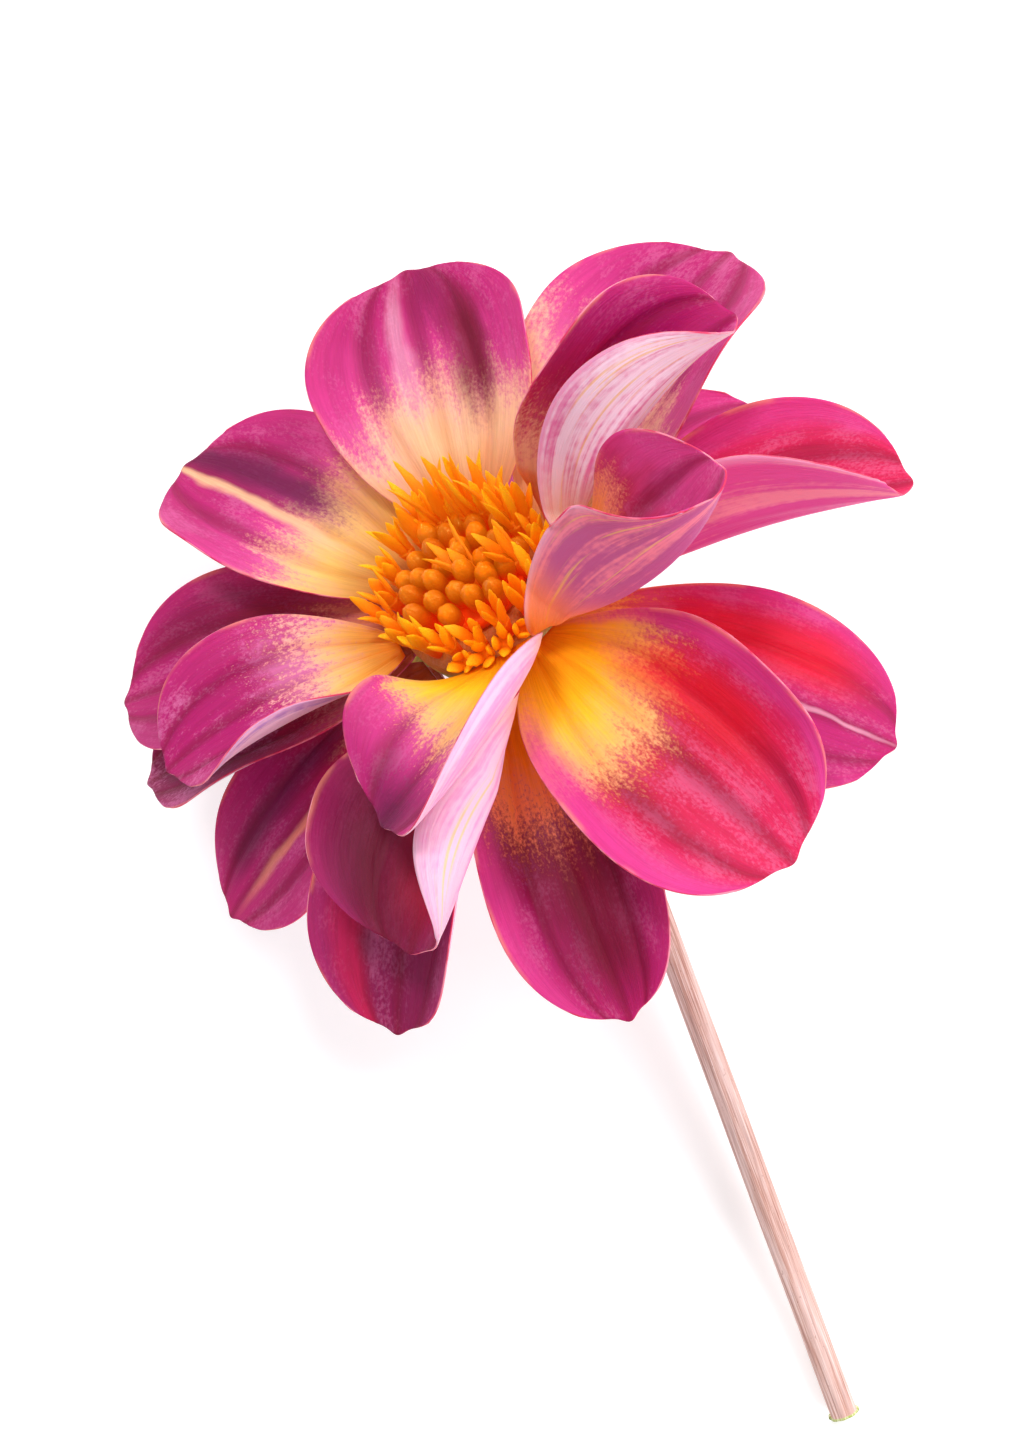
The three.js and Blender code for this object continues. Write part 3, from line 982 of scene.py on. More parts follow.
@dataclass(frozen=True)
class Relief:
    """What a petal's surface does besides its main curve, in millimetres.

    Attributes:
        ribs: ribs across it.
        rib_height: their height.
        groove: depth of the two lengthwise grooves.
        groove_side: how far out from the midrib they run, from 0 to 1.
        ruffle: how far the edges wave.
        swell: how far the surface between bulges unevenly.
    """

    ribs: int = 15
    rib_height: float = 0.01
    groove: float = 0.4
    groove_side: float = 0.46
    ruffle: float = 0.55
    swell: float = 0.5

    GROOVE_WIDTH = 0.07
    KEEL_WIDTH = 0.05
    KEEL_DEPTH = 0.5
    WANDER = 0.06

    def height(self, side: float, along: float, seed: int) -> float:
        """How far the surface stands off its main curve at a point.

        Args:
            side: from -1 to 1 across the surface.
            along: share of its length.
            seed: sets the piece's unevenness apart.

        Returns:
            The height in millimetres.
        """
        body = math.sin(math.pi * min(1.0, along)) ** 0.6
        wander = self.WANDER * math.sin(5 * along + seed)
        ribs = math.sin(math.pi * self.ribs * (side + wander)) * self.rib_height
        grooves = sum(
            math.exp(-(((side - sign * self.groove_side + wander) / self.GROOVE_WIDTH) ** 2))
            for sign in (-1, 1))
        keel = math.exp(-((side / self.KEEL_WIDTH) ** 2)) * self.KEEL_DEPTH
        wave = math.sin(math.tau * (1.6 + 0.3 * math.sin(seed)) * along + seed * 1.7 + 2 * (side > 0))
        edge = abs(side) ** 4 * along
        bulge = noise.noise(Vector((side * 1.6, along * 2.4, seed * 3.1)))
        return body * (ribs - self.groove * (grooves + keel) + self.swell * bulge) + self.ruffle * edge * wave


class BladeShape:
    """Turns a blade into a finished piece with a wall."""

    EDGE_THINNING = 0.55

    def __init__(self, blade: Blade, thickness: float, relief: Relief, columns: int, rows: int) -> None:
        """Takes a blade and how it is made.

        Args:
            blade: the middle surface.
            thickness: the wall's thickness in millimetres.
            relief: what the surface does besides.
            columns: faces across the grid.
            rows: faces along it.
        """
        self.blade = blade
        self.thickness = thickness
        self.relief = relief
        self.columns = columns
        self.rows = rows

    def form(self, seed: int) -> Form:
        """The blade's middle surface, with its relief and attributes.

        Args:
            seed: sets the piece's unevenness apart from the others'.

        Returns:
            The form, in the head's frame.
        """
        form = Form("blade", "grain")
        verts = form.grid(self.columns, self.rows)
        spots, grains, weights = {}, {}, {}
        for vert in verts:
            side, out = vert.co.x, (vert.co.y + 1) / 2
            along, across = self.blade.along(out, side), self.blade.across(out, side)
            spots[vert] = (side, along, across)
            grains[vert] = (across * self.blade.width / 2, along * self.blade.length, 0.0)
            weights[vert] = 1 - self.EDGE_THINNING * max(abs(side) ** 3, out ** 6)
            vert.co = self.blade.point(out, side)
        form.mesh.normal_update()
        lifts = {vert: vert.normal * self.relief.height(*spots[vert][:2], seed) for vert in verts}
        for vert, lift in lifts.items():
            vert.co += lift
        form.note("blade", spots)
        form.note("grain", grains)
        form.thin(weights)
        return form

    def wall(self, piece: bpy.types.Object, slots: int) -> None:
        """Gives the piece its thickness.

        Args:
            piece: the finished piece.
            slots: how many materials it has; with three, its back and rim have their own.
        """
        piece.vertex_groups.new(name="wall")
        solid = piece.modifiers.new("wall", "SOLIDIFY")
        solid.thickness = self.thickness * MM
        solid.offset = 0
        solid.use_even_offset = True
        solid.use_quality_normals = True
        solid.vertex_group = "wall"
        solid.material_offset = 1 if slots > 1 else 0
        solid.material_offset_rim = 2 if slots > 2 else 0


# ---- the head -------------------------------------------------------------------------


@dataclass(frozen=True)
class Receptacle:
    """The swollen end of the stem that seats every floret and bract."""

    rim: float = 9.2
    dome: float = 1.8
    shoulder: float = 0.6
    depth: float = 10.5
    neck: float = 1.9

    TOP_STEPS = 18
    FLANK_STEPS = 28
    SIDES = 72
    BUMP = 0.12

    def flank_radius(self, height: float) -> float:
        """Radius of the flank at a height at or below the rim."""
        down = min(1.0, max(0.0, (-height - self.shoulder) / (self.depth - self.shoulder)))
        return self.neck + (self.rim - self.neck) * math.sqrt(1 - down ** 1.6)

    def dome_height(self, radius: float) -> float:
        """Height of the domed top at a radius."""
        return self.dome - (self.dome + self.shoulder) * (radius / self.rim) ** 3

    def seat(self, height: float, thickness: float) -> tuple[float, float]:
        """Radius and height of the seat of a blade of some thickness."""
        return self.flank_radius(height) + CLEARANCE + thickness, height

    def build(self, place: Matrix) -> None:
        """Builds the receptacle as one smooth turned piece.

        Args:
            place: carries the head's frame into the row frame.
        """
        radii = [self.rim * i / self.TOP_STEPS for i in range(self.TOP_STEPS + 1)]
        top = [(radius, self.dome_height(radius)) for radius in radii]
        flank = []
        for i in range(1, self.FLANK_STEPS + 1):
            share = math.sin(math.pi / 2 * i / self.FLANK_STEPS)
            height = -self.shoulder - (self.depth - self.shoulder) * share
            flank.append((self.flank_radius(height), height))
        form = Form("growth")
        verts = form.turned([(0.0, -self.depth), *reversed(flank), *reversed(top)], self.SIDES)
        form.note("growth", {vert: (0.0, vert.co.z, 0.0) for vert in verts})
        for vert in verts:
            bumps = noise.noise(vert.co * 0.8)
            vert.co += Vector((vert.co.x, vert.co.y, 0)).normalized() * (self.BUMP * bumps)
        form.piece("flower_base", place, [GreenFinish.RECEPTACLE.material()], "receptacle", "receptacle")


class Whorl(Enum):
    """The whorls of petals, by the height on the receptacle's flank where they sit."""

    INNER = 0.0
    MIDDLE = -1.8
    OUTER = -3.4
    LOWER = -4.8
    BACK = -6.2


@dataclass(frozen=True)
class Petal:
    """One ray floret as it grew: place, shape and paint.

    Attributes:
        at: azimuth in degrees.
        long: length as a share of the longest.
        wide: width as a share of the broadest.
        rise: degrees that the midrib climbs at its base, middle and tip.
        cup: degrees that the clockwise and the counterclockwise edge curl up.
        whorl: the whorl it sits in.
        paint: its colours.
        crease: degrees that each side folds up beside the midrib.
        grow: how many times stronger cup and crease are at the tip than at the middle.
        sway: degrees that the midrib bends sideways.
        roll: degrees that the whole blade turns about its own length.
    """

    at: float
    long: float
    wide: float
    rise: tuple[float, float, float]
    cup: tuple[float, float]
    whorl: Whorl
    paint: PetalPaint
    crease: tuple[float, float] = (0.0, 0.0)
    grow: float = 1.0
    sway: float = 0.0
    roll: float = 0.0


class Head:
    """The flower head: how it lies, and every piece on it."""

    LEAN = 45.0
    HEADING = 128.0
    RAY_LENGTH = 38.0
    RAY_WIDTH = 24.0
    CAD_THICKNESS = 0.5
    WALL = 0.42
    MESH_GRID = (72, 84)
    RAY_OUTLINE = Outline(claw=0.16, belly=0.6, nib=0.02)
    NODE_GRID = (10, 6)

    def __init__(self, petals: Sequence[Petal]) -> None:
        """Takes the flower's petals, in the order of their nodes."""
        self.petals = petals
        self.receptacle = Receptacle()

    def blade(self, petal: Petal) -> Blade:
        """A petal's middle surface, seated on the receptacle.

        Args:
            petal: the petal.

        Returns:
            Its blade.
        """
        return Blade(
            outline=self.RAY_OUTLINE, at=petal.at, length=self.RAY_LENGTH * petal.long,
            width=self.RAY_WIDTH * petal.wide, rise=petal.rise, cup=petal.cup, crease=petal.crease,
            grow=petal.grow, sway=petal.sway, roll=petal.roll,
            seat=self.receptacle.seat(petal.whorl.value, self.CAD_THICKNESS))

    @cached_property
    def place(self) -> Matrix:
        """Carries the head's frame into the row frame, where its petals' nodes are.

        Returns:
            The matrix, from millimetres to metres.
        """
        turn = Matrix.Rotation(math.radians(self.HEADING - 90), 4, "Z") \
            @ Matrix.Rotation(-math.radians(self.LEAN), 4, "X") @ Matrix.Scale(MM, 4)
        rows, columns = self.NODE_GRID
        shift = Vector()
        for number, petal in enumerate(self.petals, 1):
            blade = self.blade(petal)
            points = [turn @ blade.point(i / rows, 2 * j / columns - 1)
                      for i in range(rows + 1) for j in range(columns + 1)]
            low = Vector(map(min, *points))
            high = Vector(map(max, *points))
            node_low, node_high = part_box(f"ray_floret_{number:02d}")
            shift += (node_low + node_high - low - high) / 2
        return Matrix.Translation(shift / len(self.petals)) @ turn

    def build(self) -> None:
        """Builds the petals, then all that they stand round."""
        LOG.info("ring centre at %s mm", [round(x / MM, 2) for x in self.place.translation])
        for number, petal in enumerate(self.petals, 1):
            self._petal(number, petal)
        self.receptacle.build(self.place)
        Disc(self.receptacle).build(self.place)
        Bracts(self.receptacle).build(self.place)

    def _petal(self, number: int, petal: Petal) -> None:
        """Builds one petal.

        Args:
            number: its number, from 1.
            petal: the petal.
        """
        name = f"petal_{number:02d}"
        shape = BladeShape(self.blade(petal), self.WALL, Relief(), *self.MESH_GRID)
        materials = PetalFinish(name, petal.paint, number).materials()
        form = shape.form(number)
        piece = form.piece(name, self.place, materials, "ray", f"ray_floret_{number:02d}")
        shape.wall(piece, len(materials))


# ---- the disc -------------------------------------------------------------------------


@dataclass(frozen=True)
class Bud:
    """A closed bud of the disc."""

    width: float = 2.4
    height: float = 4.6
    spacing: float = 1.21
    field_radius: float = 6.3
    bed: float = 0.8
    bed_rim: float = 0.3
    lean: float = 18.0
    uneven: float = 0.14

    SIDES = 30
    BED_SIDES = 48
    BED_RINGS = 10
    PINCH = 0.42
    OUTLINE = ((0, -0.17), (0.62, -0.17), (0.8, 0.1), (0.96, 0.34), (1.0, 0.52), (0.99, 0.64), (0.9, 0.76),
               (0.72, 0.86), (0.5, 0.93), (0.26, 0.98), (0, 1.0))

    @property
    def count(self) -> int:
        """How many stand on the field."""
        return math.floor((self.field_radius / self.spacing) ** 2)


@dataclass(frozen=True)
class OpenFloret:
    """An open floret of the disc's ring."""

    count: int = 18
    tube_radius: float = 0.65
    mouth_radius: float = 0.95
    length: float = 7.6
    lean: float = 14.0
    uneven: float = 0.12
    mouth_share: float = 0.42
    lobes: int = 4
    lobe_length: tuple[float, float] = (0.85, 1.35)
    lobe_width: tuple[float, float] = (0.54, 0.78)
    lobe_thickness: float = 0.3
    lobe_splay: tuple[float, float] = (0.0, 0.3)
    lobe_hook: tuple[float, float] = (-0.1, 0.25)

    TUBE_SIDES = 14
    TUBE_STEPS = 12
    LOBE_SIDES = 10
    LOBE_STEPS = 14


class Disc:
    """The middle of the flower: closed buds, and open florets round them.

    Each of the strays has its azimuth in degrees, its radius, its lean and its share of the full length.
    The full side's second row has its middle's azimuth, its step in degrees and its count; its florets'
    distance from the buds, lean in degrees and share of the full length each fall within a range.
    """

    SEAT_GAP = 0.6
    BUD_SEED = 5
    RING_SEED = 100
    INNER_SEED = 77
    FULL_SIDE = (50.0, 12.0, 9)
    ROW_GAP = 0.5
    ROW_OFFSET = (-0.3, 0.4)
    ROW_LEAN = (2, 14)
    ROW_LENGTH = (1.05, 1.4)
    STRAYS = ((290, 5.2, -44, 1.2), (322, 7.2, -12, 1.15), (238, 8.9, 38, 0.62), (251, 8.8, 42, 0.6),
              (264, 8.9, 38, 0.64), (277, 8.8, 42, 0.6), (291, 8.9, 36, 0.62))

    def __init__(self, receptacle: Receptacle) -> None:
        """Takes what it stands on.

        Args:
            receptacle: the receptacle that it stands on.
        """
        self.receptacle = receptacle
        self.bud = Bud()
        self.floret = OpenFloret()

    def build(self, place: Matrix) -> None:
        """Builds the buds, the ring of open florets and the few that opened inside it.

        Args:
            place: carries the head's frame into the row frame.
        """
        self._buds(place)
        skin = DiscFinish.FLORET.material()
        for index in range(self.floret.count):
            form = Form("growth")
            self._floret(form, index, random.Random(self.RING_SEED + index))
            number = f"{index + 1:02d}"
            form.piece(f"open_floret_{number}", place, [skin], "disc_floret", f"disc_floret_{number}")
        self._inner_florets(place, skin)

    def _buds(self, place: Matrix) -> None:
        """Builds the closed buds and the bed they grow from.

        Args:
            place: carries the head's frame into the row frame.
        """
        bud, receptacle = self.bud, self.receptacle
        form = Form("growth")
        chance = random.Random(self.BUD_SEED)
        growth = {}
        bed_radius = bud.field_radius + bud.bed_rim
        radii = [bed_radius * i / bud.BED_RINGS for i in range(bud.BED_RINGS + 1)]
        heights = [(radius, receptacle.dome_height(radius) + self.SEAT_GAP) for radius in radii]
        bed = heights + [(radius, height + bud.bed) for radius, height in reversed(heights)]
        for vert in form.turned(bed, bud.BED_SIDES):
            growth[vert] = (0.4, 0.1, 0.0)
        for n in range(bud.count):
            radius = bud.spacing * math.sqrt(n + 0.5)
            seat = receptacle.dome_height(radius) + self.SEAT_GAP + bud.bed
            age = chance.random()
            stand = Matrix.Rotation(n * GOLDEN_ANGLE, 4, "Z") @ Matrix.Translation((radius, 0, seat)) \
                @ Matrix.Rotation(math.radians(bud.lean) * radius / bud.field_radius, 4, "Y")
            tall = 1 - bud.uneven + bud.uneven * math.cos(3 * n)
            growth.update(self._one_bud(form, stand, tall, age))
        form.note("growth", growth)
        form.piece("closed_buds", place, [DiscFinish.BUD.material()], "bud", "disc_buds")

    def _one_bud(self, form: Form, stand: Matrix, tall: float, age: float) -> dict:
        """Adds one bud: five folded lobes that meet in a point.

        Args:
            form: the form it is added to.
            stand: where it stands.
            tall: its height as a share of the full one.
            age: from 0 to 1, which tints it.

        Returns:
            The growth attribute of its vertices.
        """
        radius, height = self.bud.width / 2, self.bud.height * tall
        outline = [(share * radius, level * height) for share, level in self.bud.OUTLINE]
        growth = {}
        for vert in form.turned(outline, self.bud.SIDES):
            level = max(0.0, vert.co.z / height)
            angle = math.atan2(vert.co.y, vert.co.x)
            pinch = abs(math.cos(2.5 * angle + age * 3)) ** 0.5
            squeeze = 1 - self.bud.PINCH * level ** 3 * (1 - pinch)
            vert.co.x *= squeeze
            vert.co.y *= squeeze
            growth[vert] = (age, level, 0.0)
            vert.co = stand @ vert.co
        return growth

    def _floret(self, form: Form, index: int, chance: random.Random) -> None:
        """Adds one open floret of the ring.

        Args:
            form: the form it is added to.
            index: its number in the ring, from 0.
            chance: its own source of unevenness.
        """
        floret = self.floret
        tall = floret.length * (1 - floret.uneven + floret.uneven * math.cos(2.4 * index))
        radius = (self.bud.field_radius + self.bud.width / 2 + self.receptacle.rim) / 2
        lean = math.radians(floret.lean + 4 * math.sin(1.7 * index))
        seat = self.receptacle.dome_height(radius) + CLEARANCE + floret.tube_radius * math.sin(lean)
        stand = Matrix.Rotation(math.tau * (index + 0.5) / floret.count, 4, "Z") \
            @ Matrix.Translation((radius, 0, seat)) @ Matrix.Rotation(lean, 4, "Y")
        self._open(form, stand, tall, chance)

    def _open(self, form: Form, stand: Matrix, tall: float, chance: random.Random) -> None:
        """Adds an open floret: a tube, and pointed lobes that stand out of it.

        Args:
            form: the form it is added to.
            stand: where it stands.
            tall: its height.
            chance: its own source of unevenness.
        """
        floret, growth, age = self.floret, {}, chance.random()
        mouth = floret.mouth_share * tall
        for vert in form.tube(floret.TUBE_SIDES, floret.TUBE_STEPS):
            share = vert.co.z / floret.TUBE_STEPS
            flare = floret.tube_radius + (floret.mouth_radius - floret.tube_radius) * share ** 2
            fold = 1 + 0.12 * math.cos(5 * math.atan2(vert.co.y, vert.co.x)) * share
            growth[vert] = (age, 0.5 * share, 0.0)
            spread = flare * fold * (0.75 + 0.25 * math.sin(math.pi / 2 * min(1.0, 3 * share)))
            vert.co = stand @ Vector((vert.co.x * spread, vert.co.y * spread, share * mouth))
        turn = chance.uniform(0, math.tau)
        for lobe in range(floret.lobes):
            long = (tall - mouth) * chance.uniform(*floret.lobe_length)
            heading = turn + math.tau * lobe / floret.lobes
            growth.update(self._lobe(form, stand, mouth, heading, long, age, chance))
        form.note("growth", growth)

    def _lobe(self, form: Form, stand: Matrix, mouth: float, turn: float, long: float, age: float,
              chance: random.Random) -> dict:
        """Adds one pointed lobe to a floret's mouth.

        Args:
            form: the form it is added to.
            stand: where the floret stands.
            mouth: the height of its mouth.
            turn: which way round the lobe is, in radians.
            long: the lobe's length.
            age: the floret's tint.
            chance: its source of unevenness.

        Returns:
            The growth attribute of its vertices.
        """
        floret, growth = self.floret, {}
        wide = chance.uniform(*floret.lobe_width)
        splay, hook = chance.uniform(*floret.lobe_splay), chance.uniform(*floret.lobe_hook)
        aim = stand @ Matrix.Rotation(turn, 4, "Z") \
            @ Matrix.Translation((floret.mouth_radius * 0.62, 0, mouth * 0.9))
        for vert in form.tube(floret.LOBE_SIDES, floret.LOBE_STEPS):
            share = vert.co.z / floret.LOBE_STEPS
            body = (0.6 + 0.4 * math.sin(math.pi * min(1.0, share * 1.15))) \
                * (1 - max(0.0, (share - 0.5) / 0.5) ** 4.5) + 0.02
            rough = 1 + 0.22 * noise.noise(Vector((vert.co.x * 1.5, vert.co.y * 1.5, share * 14 + 9 * age)))
            outward = long * (splay * share + hook * share ** 3)
            x = outward + vert.co.x * floret.lobe_thickness * body * rough
            y = vert.co.y * wide * body * rough
            growth[vert] = (age, 0.5 + 0.5 * share, 0.0)
            vert.co = aim @ Vector((x, y, share * long))
        return growth

    def _inner_florets(self, place: Matrix, skin: bpy.types.Material) -> None:
        """Builds the florets that opened inside the ring, its full side's second row among them.

        Args:
            place: carries the head's frame into the row frame.
            skin: their material.
        """
        form = Form("growth")
        chance = random.Random(self.INNER_SEED)
        middle, step, count = self.FULL_SIDE
        for i in range(count):
            angle = math.radians(middle) + math.radians(step) * (i - (count - 1) / 2)
            radius = self.bud.field_radius + self.ROW_GAP + chance.uniform(*self.ROW_OFFSET)
            seat = self.receptacle.dome_height(radius) + CLEARANCE
            lean = math.radians(chance.uniform(*self.ROW_LEAN))
            stand = Matrix.Rotation(angle, 4, "Z") @ Matrix.Translation((radius, 0, seat)) \
                @ Matrix.Rotation(lean, 4, "Y")
            self._open(form, stand, self.floret.length * chance.uniform(*self.ROW_LENGTH), chance)
        for degrees, radius, lean, share in self.STRAYS:
            seat = self.receptacle.dome_height(radius) + CLEARANCE
            stand = Matrix.Rotation(math.radians(degrees), 4, "Z") @ Matrix.Translation((radius, 0, seat)) \
                @ Matrix.Rotation(math.radians(lean), 4, "Y")
            self._open(form, stand, self.floret.length * share, chance)
        form.piece("inner_florets", place, [skin], "disc_floret")


# ---- bracts ---------------------------------------------------------------------------


@dataclass(frozen=True)
class BractWhorl:
    """A whorl of equal bracts under the head."""

    name: str
    slot: str
    finish: GreenFinish
    count: int
    turn: float
    height: float
    length: float
    width: float
    rise: tuple[float, float, float]


class Bracts:
    """The two whorls of bracts under the head."""

    CAD_THICKNESS = 0.5
    WALL = 0.4
    MESH_GRID = (28, 36)
    FIRST_SEED = 40
    OUTLINE = Outline(claw=0.62, belly=0.38, nib=0.06)
    RELIEF = Relief(ribs=7, rib_height=0.05, groove=0.05, ruffle=0.15, swell=0.15)
    CUP = (30.0, 30.0)
    WHORLS = (
        BractWhorl("phyllary", "phyllary", GreenFinish.PHYLLARY, 8, 10, -8.0, 12, 6.4, (-30, -30, -18)),
        BractWhorl("leafy_bract", "leafy_bract", GreenFinish.LEAFY, 5, 28, -9.3, 11, 4.8, (-48, -62, -70)),
    )

    def __init__(self, receptacle: Receptacle) -> None:
        """Takes the receptacle that they grow from."""
        self.receptacle = receptacle

    def build(self, place: Matrix) -> None:
        """Builds both whorls.

        Args:
            place: carries the head's frame into the row frame.
        """
        for whorl in self.WHORLS:
            skin = whorl.finish.material()
            for i in range(whorl.count):
                blade = Blade(
                    outline=self.OUTLINE, at=whorl.turn + 360 * i / whorl.count, length=whorl.length,
                    width=whorl.width, rise=whorl.rise, cup=self.CUP,
                    seat=self.receptacle.seat(whorl.height, self.CAD_THICKNESS))
                shape = BladeShape(blade, self.WALL, self.RELIEF, *self.MESH_GRID)
                node = f"{whorl.name}_{i + 1}"
                form = shape.form(self.FIRST_SEED + i)
                piece = form.piece(f"green_{node}", place, [skin], whorl.slot, node)
                shape.wall(piece, 1)


# ---- the stem -------------------------------------------------------------------------


@dataclass(frozen=True)
class StemRoute:
    """The stem's way from the head's neck to its cut end on the table."""

    radius: float = 1.6
    neck_run: float = 6.0
    bend_end: tuple[float, float] = (16.5, -31.5)
    bend_pull: float = 12.0
    run: float = 62.0
    heading: float = -69.5
    slope: float = 6.3

    NECK_STEPS = 6
    BEND_STEPS = 40
    RUN_STEPS = 50

    def points(self, neck: Vector, back: Vector, table: float) -> list[Vector]:
        """Points along the centre line, in metres.

        Args:
            neck: where it leaves the receptacle.
            back: the way it leaves.
            table: the table's height.

        Returns:
            Points at nearly equal steps.
        """
        heading, slope = math.radians(self.heading), math.radians(self.slope)
        ahead = Vector((math.cos(heading) * math.cos(slope), math.sin(heading) * math.cos(slope),
                        -math.sin(slope)))
        start = neck + back * (self.neck_run * MM)
        end = Vector((neck.x + self.bend_end[0] * MM, neck.y + self.bend_end[1] * MM,
                      table + (self.radius - self.run * ahead.z) * MM))
        pull = self.bend_pull * MM
        bend = interpolate_bezier(start, start + back * pull, end - ahead * pull, end, self.BEND_STEPS)
        steps = self.RUN_STEPS
        straight = [end + ahead * (self.run * MM * i / steps) for i in range(1, steps + 1)]
        neck_part = [neck.lerp(start, i / self.NECK_STEPS) for i in range(self.NECK_STEPS)]
        return [*neck_part, *bend, *straight]


class Stem:
    """The cut stem.

    The cut end is inset in steps, each with its inset and how far it then sinks.
    """

    SIDES = 48
    RIBS = 8
    RIB_HEIGHT = 0.045
    UNEVENNESS = 0.05
    END_STEPS = ((0.35, 0.05), (0.45, 0.1), (0.08, 2.2))

    def __init__(self, head: Head) -> None:
        """Takes the head that it holds."""
        self.head = head
        self.route = StemRoute()

    def build(self) -> None:
        """Builds the stem and its cut end as one piece."""
        place = self.head.place
        neck = place @ Vector((0, 0, -self.head.receptacle.depth - CLEARANCE))
        back = (place.to_3x3() @ Vector((0, 0, -1))).normalized()
        points = self.route.points(neck, back, table=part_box("stem")[0].z)
        form = Form("fibre")
        verts = form.tube(self.SIDES, len(points) - 1)
        frames = self._frames(points)
        fibre, run = {}, 0.0
        runs = [0.0]
        for first, second in zip(points, points[1:]):
            run += (second - first).length / MM
            runs.append(run)
        for vert in verts:
            station = round(vert.co.z)
            angle = math.atan2(vert.co.y, vert.co.x)
            radius = self._radius(angle, runs[station], run)
            across, up = frames[station]
            fibre[vert] = (math.cos(angle), math.sin(angle), runs[station])
            vert.co = points[station] + (across * math.cos(angle) + up * math.sin(angle)) * (radius * MM)
        form.note("fibre", fibre)
        self._hollow(form, points)
        skin, cut = StemFinish.SKIN.material(), StemFinish.CUT.material()
        form.piece("cut_stem", Matrix.Identity(4), [skin, cut], "stem", "stem")

    def _radius(self, angle: float, run: float, whole: float) -> float:
        """The stem's radius at a point of its skin.

        Args:
            angle: the angle round it, in radians.
            run: how far along it, in millimetres.
            whole: its whole length, in millimetres.

        Returns:
            The radius in millimetres.
        """
        ribs = self.RIB_HEIGHT * math.cos(self.RIBS * angle + 0.01 * run)
        turned = Vector((math.cos(angle), math.sin(angle), run * 0.07))
        uneven = self.UNEVENNESS * noise.noise(turned)
        swelling = 0.25 * math.exp(-run / 3)
        return self.route.radius * (0.96 + 0.04 * run / whole) - 0.05 + ribs + uneven + swelling

    @staticmethod
    def _frames(points: Sequence[Vector]) -> list[tuple[Vector, Vector]]:
        """Two directions square to the line at each point, without twist.

        Args:
            points: the line.

        Returns:
            The two directions at each point.
        """
        frames, across = [], Vector((1, 0, 0))
        for i in range(len(points)):
            ahead = (points[min(i + 1, len(points) - 1)] - points[max(i - 1, 0)]).normalized()
            across = (across - ahead * across.dot(ahead)).normalized()
            frames.append((across, ahead.cross(across)))
        return frames

    def _hollow(self, form: Form, points: Sequence[Vector]) -> None:
        """Cuts the pith's hollow into the lower end.

        Args:
            form: the stem's form.
            points: its centre line.
        """
        mesh = form.mesh
        end = min((face for face in mesh.faces if len(face.verts) == self.SIDES),
                  key=lambda face: (face.calc_center_median() - points[-1]).length)
        ahead = (points[-1] - points[-2]).normalized()
        end.material_index = 1
        for thickness, depth in self.END_STEPS:
            made = bmesh.ops.inset_region(mesh, faces=[end], thickness=thickness * MM, depth=0)["faces"]
            for face in made:
                face.material_index = 1
            bmesh.ops.translate(mesh, verts=end.verts, vec=ahead * (-depth * MM))


# ---- the studio -----------------------------------------------------------------------


@dataclass(frozen=True)
class SoftBox:
    """A large soft light aimed at the flower."""

    name: str
    azimuth: float
    elevation: float
    distance: float
    size: float
    power: float

    def build(self, centre: Vector) -> None:
        """Places the light and aims it.

        Args:
            centre: what it is aimed at.
        """
        light = bpy.data.lights.new(self.name, "AREA")
        light.energy = self.power
        light.size = self.size
        lamp = bpy.data.objects.new(self.name, light)
        azimuth, elevation = math.radians(self.azimuth), math.radians(self.elevation)
        away = Vector((math.cos(azimuth) * math.cos(elevation), math.sin(azimuth) * math.cos(elevation),
                       math.sin(elevation)))
        lamp.location = centre + away * self.distance
        lamp.rotation_euler = (-away).to_track_quat("-Z", "Y").to_euler()
        bpy.context.scene.collection.objects.link(lamp)


class Studio:
    """Floor, light and camera."""

    LENS = 82.6
    SENSOR = 36.0
    CAMERA_RISE = 0.35
    CAMERA_ASIDE = (0.00362, -0.01309)
    CLIP = (0.01, 20.0)
    FLOOR_SIZE = 3.0
    WORLD = 0.62
    LIGHTS = (
        SoftBox("key", azimuth=50, elevation=42, distance=0.8, size=0.45, power=4.0),
        SoftBox("glint", azimuth=115, elevation=58, distance=0.7, size=0.12, power=1.8),
        SoftBox("back_light", azimuth=-40, elevation=25, distance=0.8, size=0.5, power=3.0),
    )

    def build(self, centre: Vector) -> None:
        """Builds the studio.

        Args:
            centre: the middle of the flower's disc.
        """
        self._camera(centre)
        self._floor()
        self._world()
        for light in self.LIGHTS:
            light.build(centre)

    def _camera(self, centre: Vector) -> None:
        """Builds a camera that looks straight down on the flower.

        Args:
            centre: the middle of the flower's disc.
        """
        data = bpy.data.cameras.new("camera")
        data.lens = self.LENS
        data.sensor_width = self.SENSOR
        data.clip_start, data.clip_end = self.CLIP
        camera = bpy.data.objects.new("camera", data)
        aside = Vector((*self.CAMERA_ASIDE, self.CAMERA_RISE))
        camera.location = centre + aside
        bpy.context.scene.collection.objects.link(camera)
        bpy.context.scene.camera = camera

    def _floor(self) -> None:
        """A pale floor under the flower."""
        mesh = bmesh.new()
        bmesh.ops.create_grid(mesh, x_segments=2, y_segments=2, size=self.FLOOR_SIZE)
        data = bpy.data.meshes.new("floor")
        mesh.to_mesh(data)
        mesh.free()
        data.materials.append(FloorFinish.material())
        floor = bpy.data.objects.new("floor", data)
        bpy.context.scene.collection.objects.link(floor)

    def _world(self) -> None:
        """Even light from all round, and colours shown as they are."""
        scene = bpy.context.scene
        scene.view_settings.view_transform = "Standard"
        world = bpy.data.worlds.new("studio")
        world.use_nodes = True
        background = world.node_tree.nodes["Background"]
        background.inputs["Color"].default_value = Pigment.PAPER.linear
        background.inputs["Strength"].default_value = self.WORLD
        scene.world = world


# ---- this flower ----------------------------------------------------------------------

P = Pigment
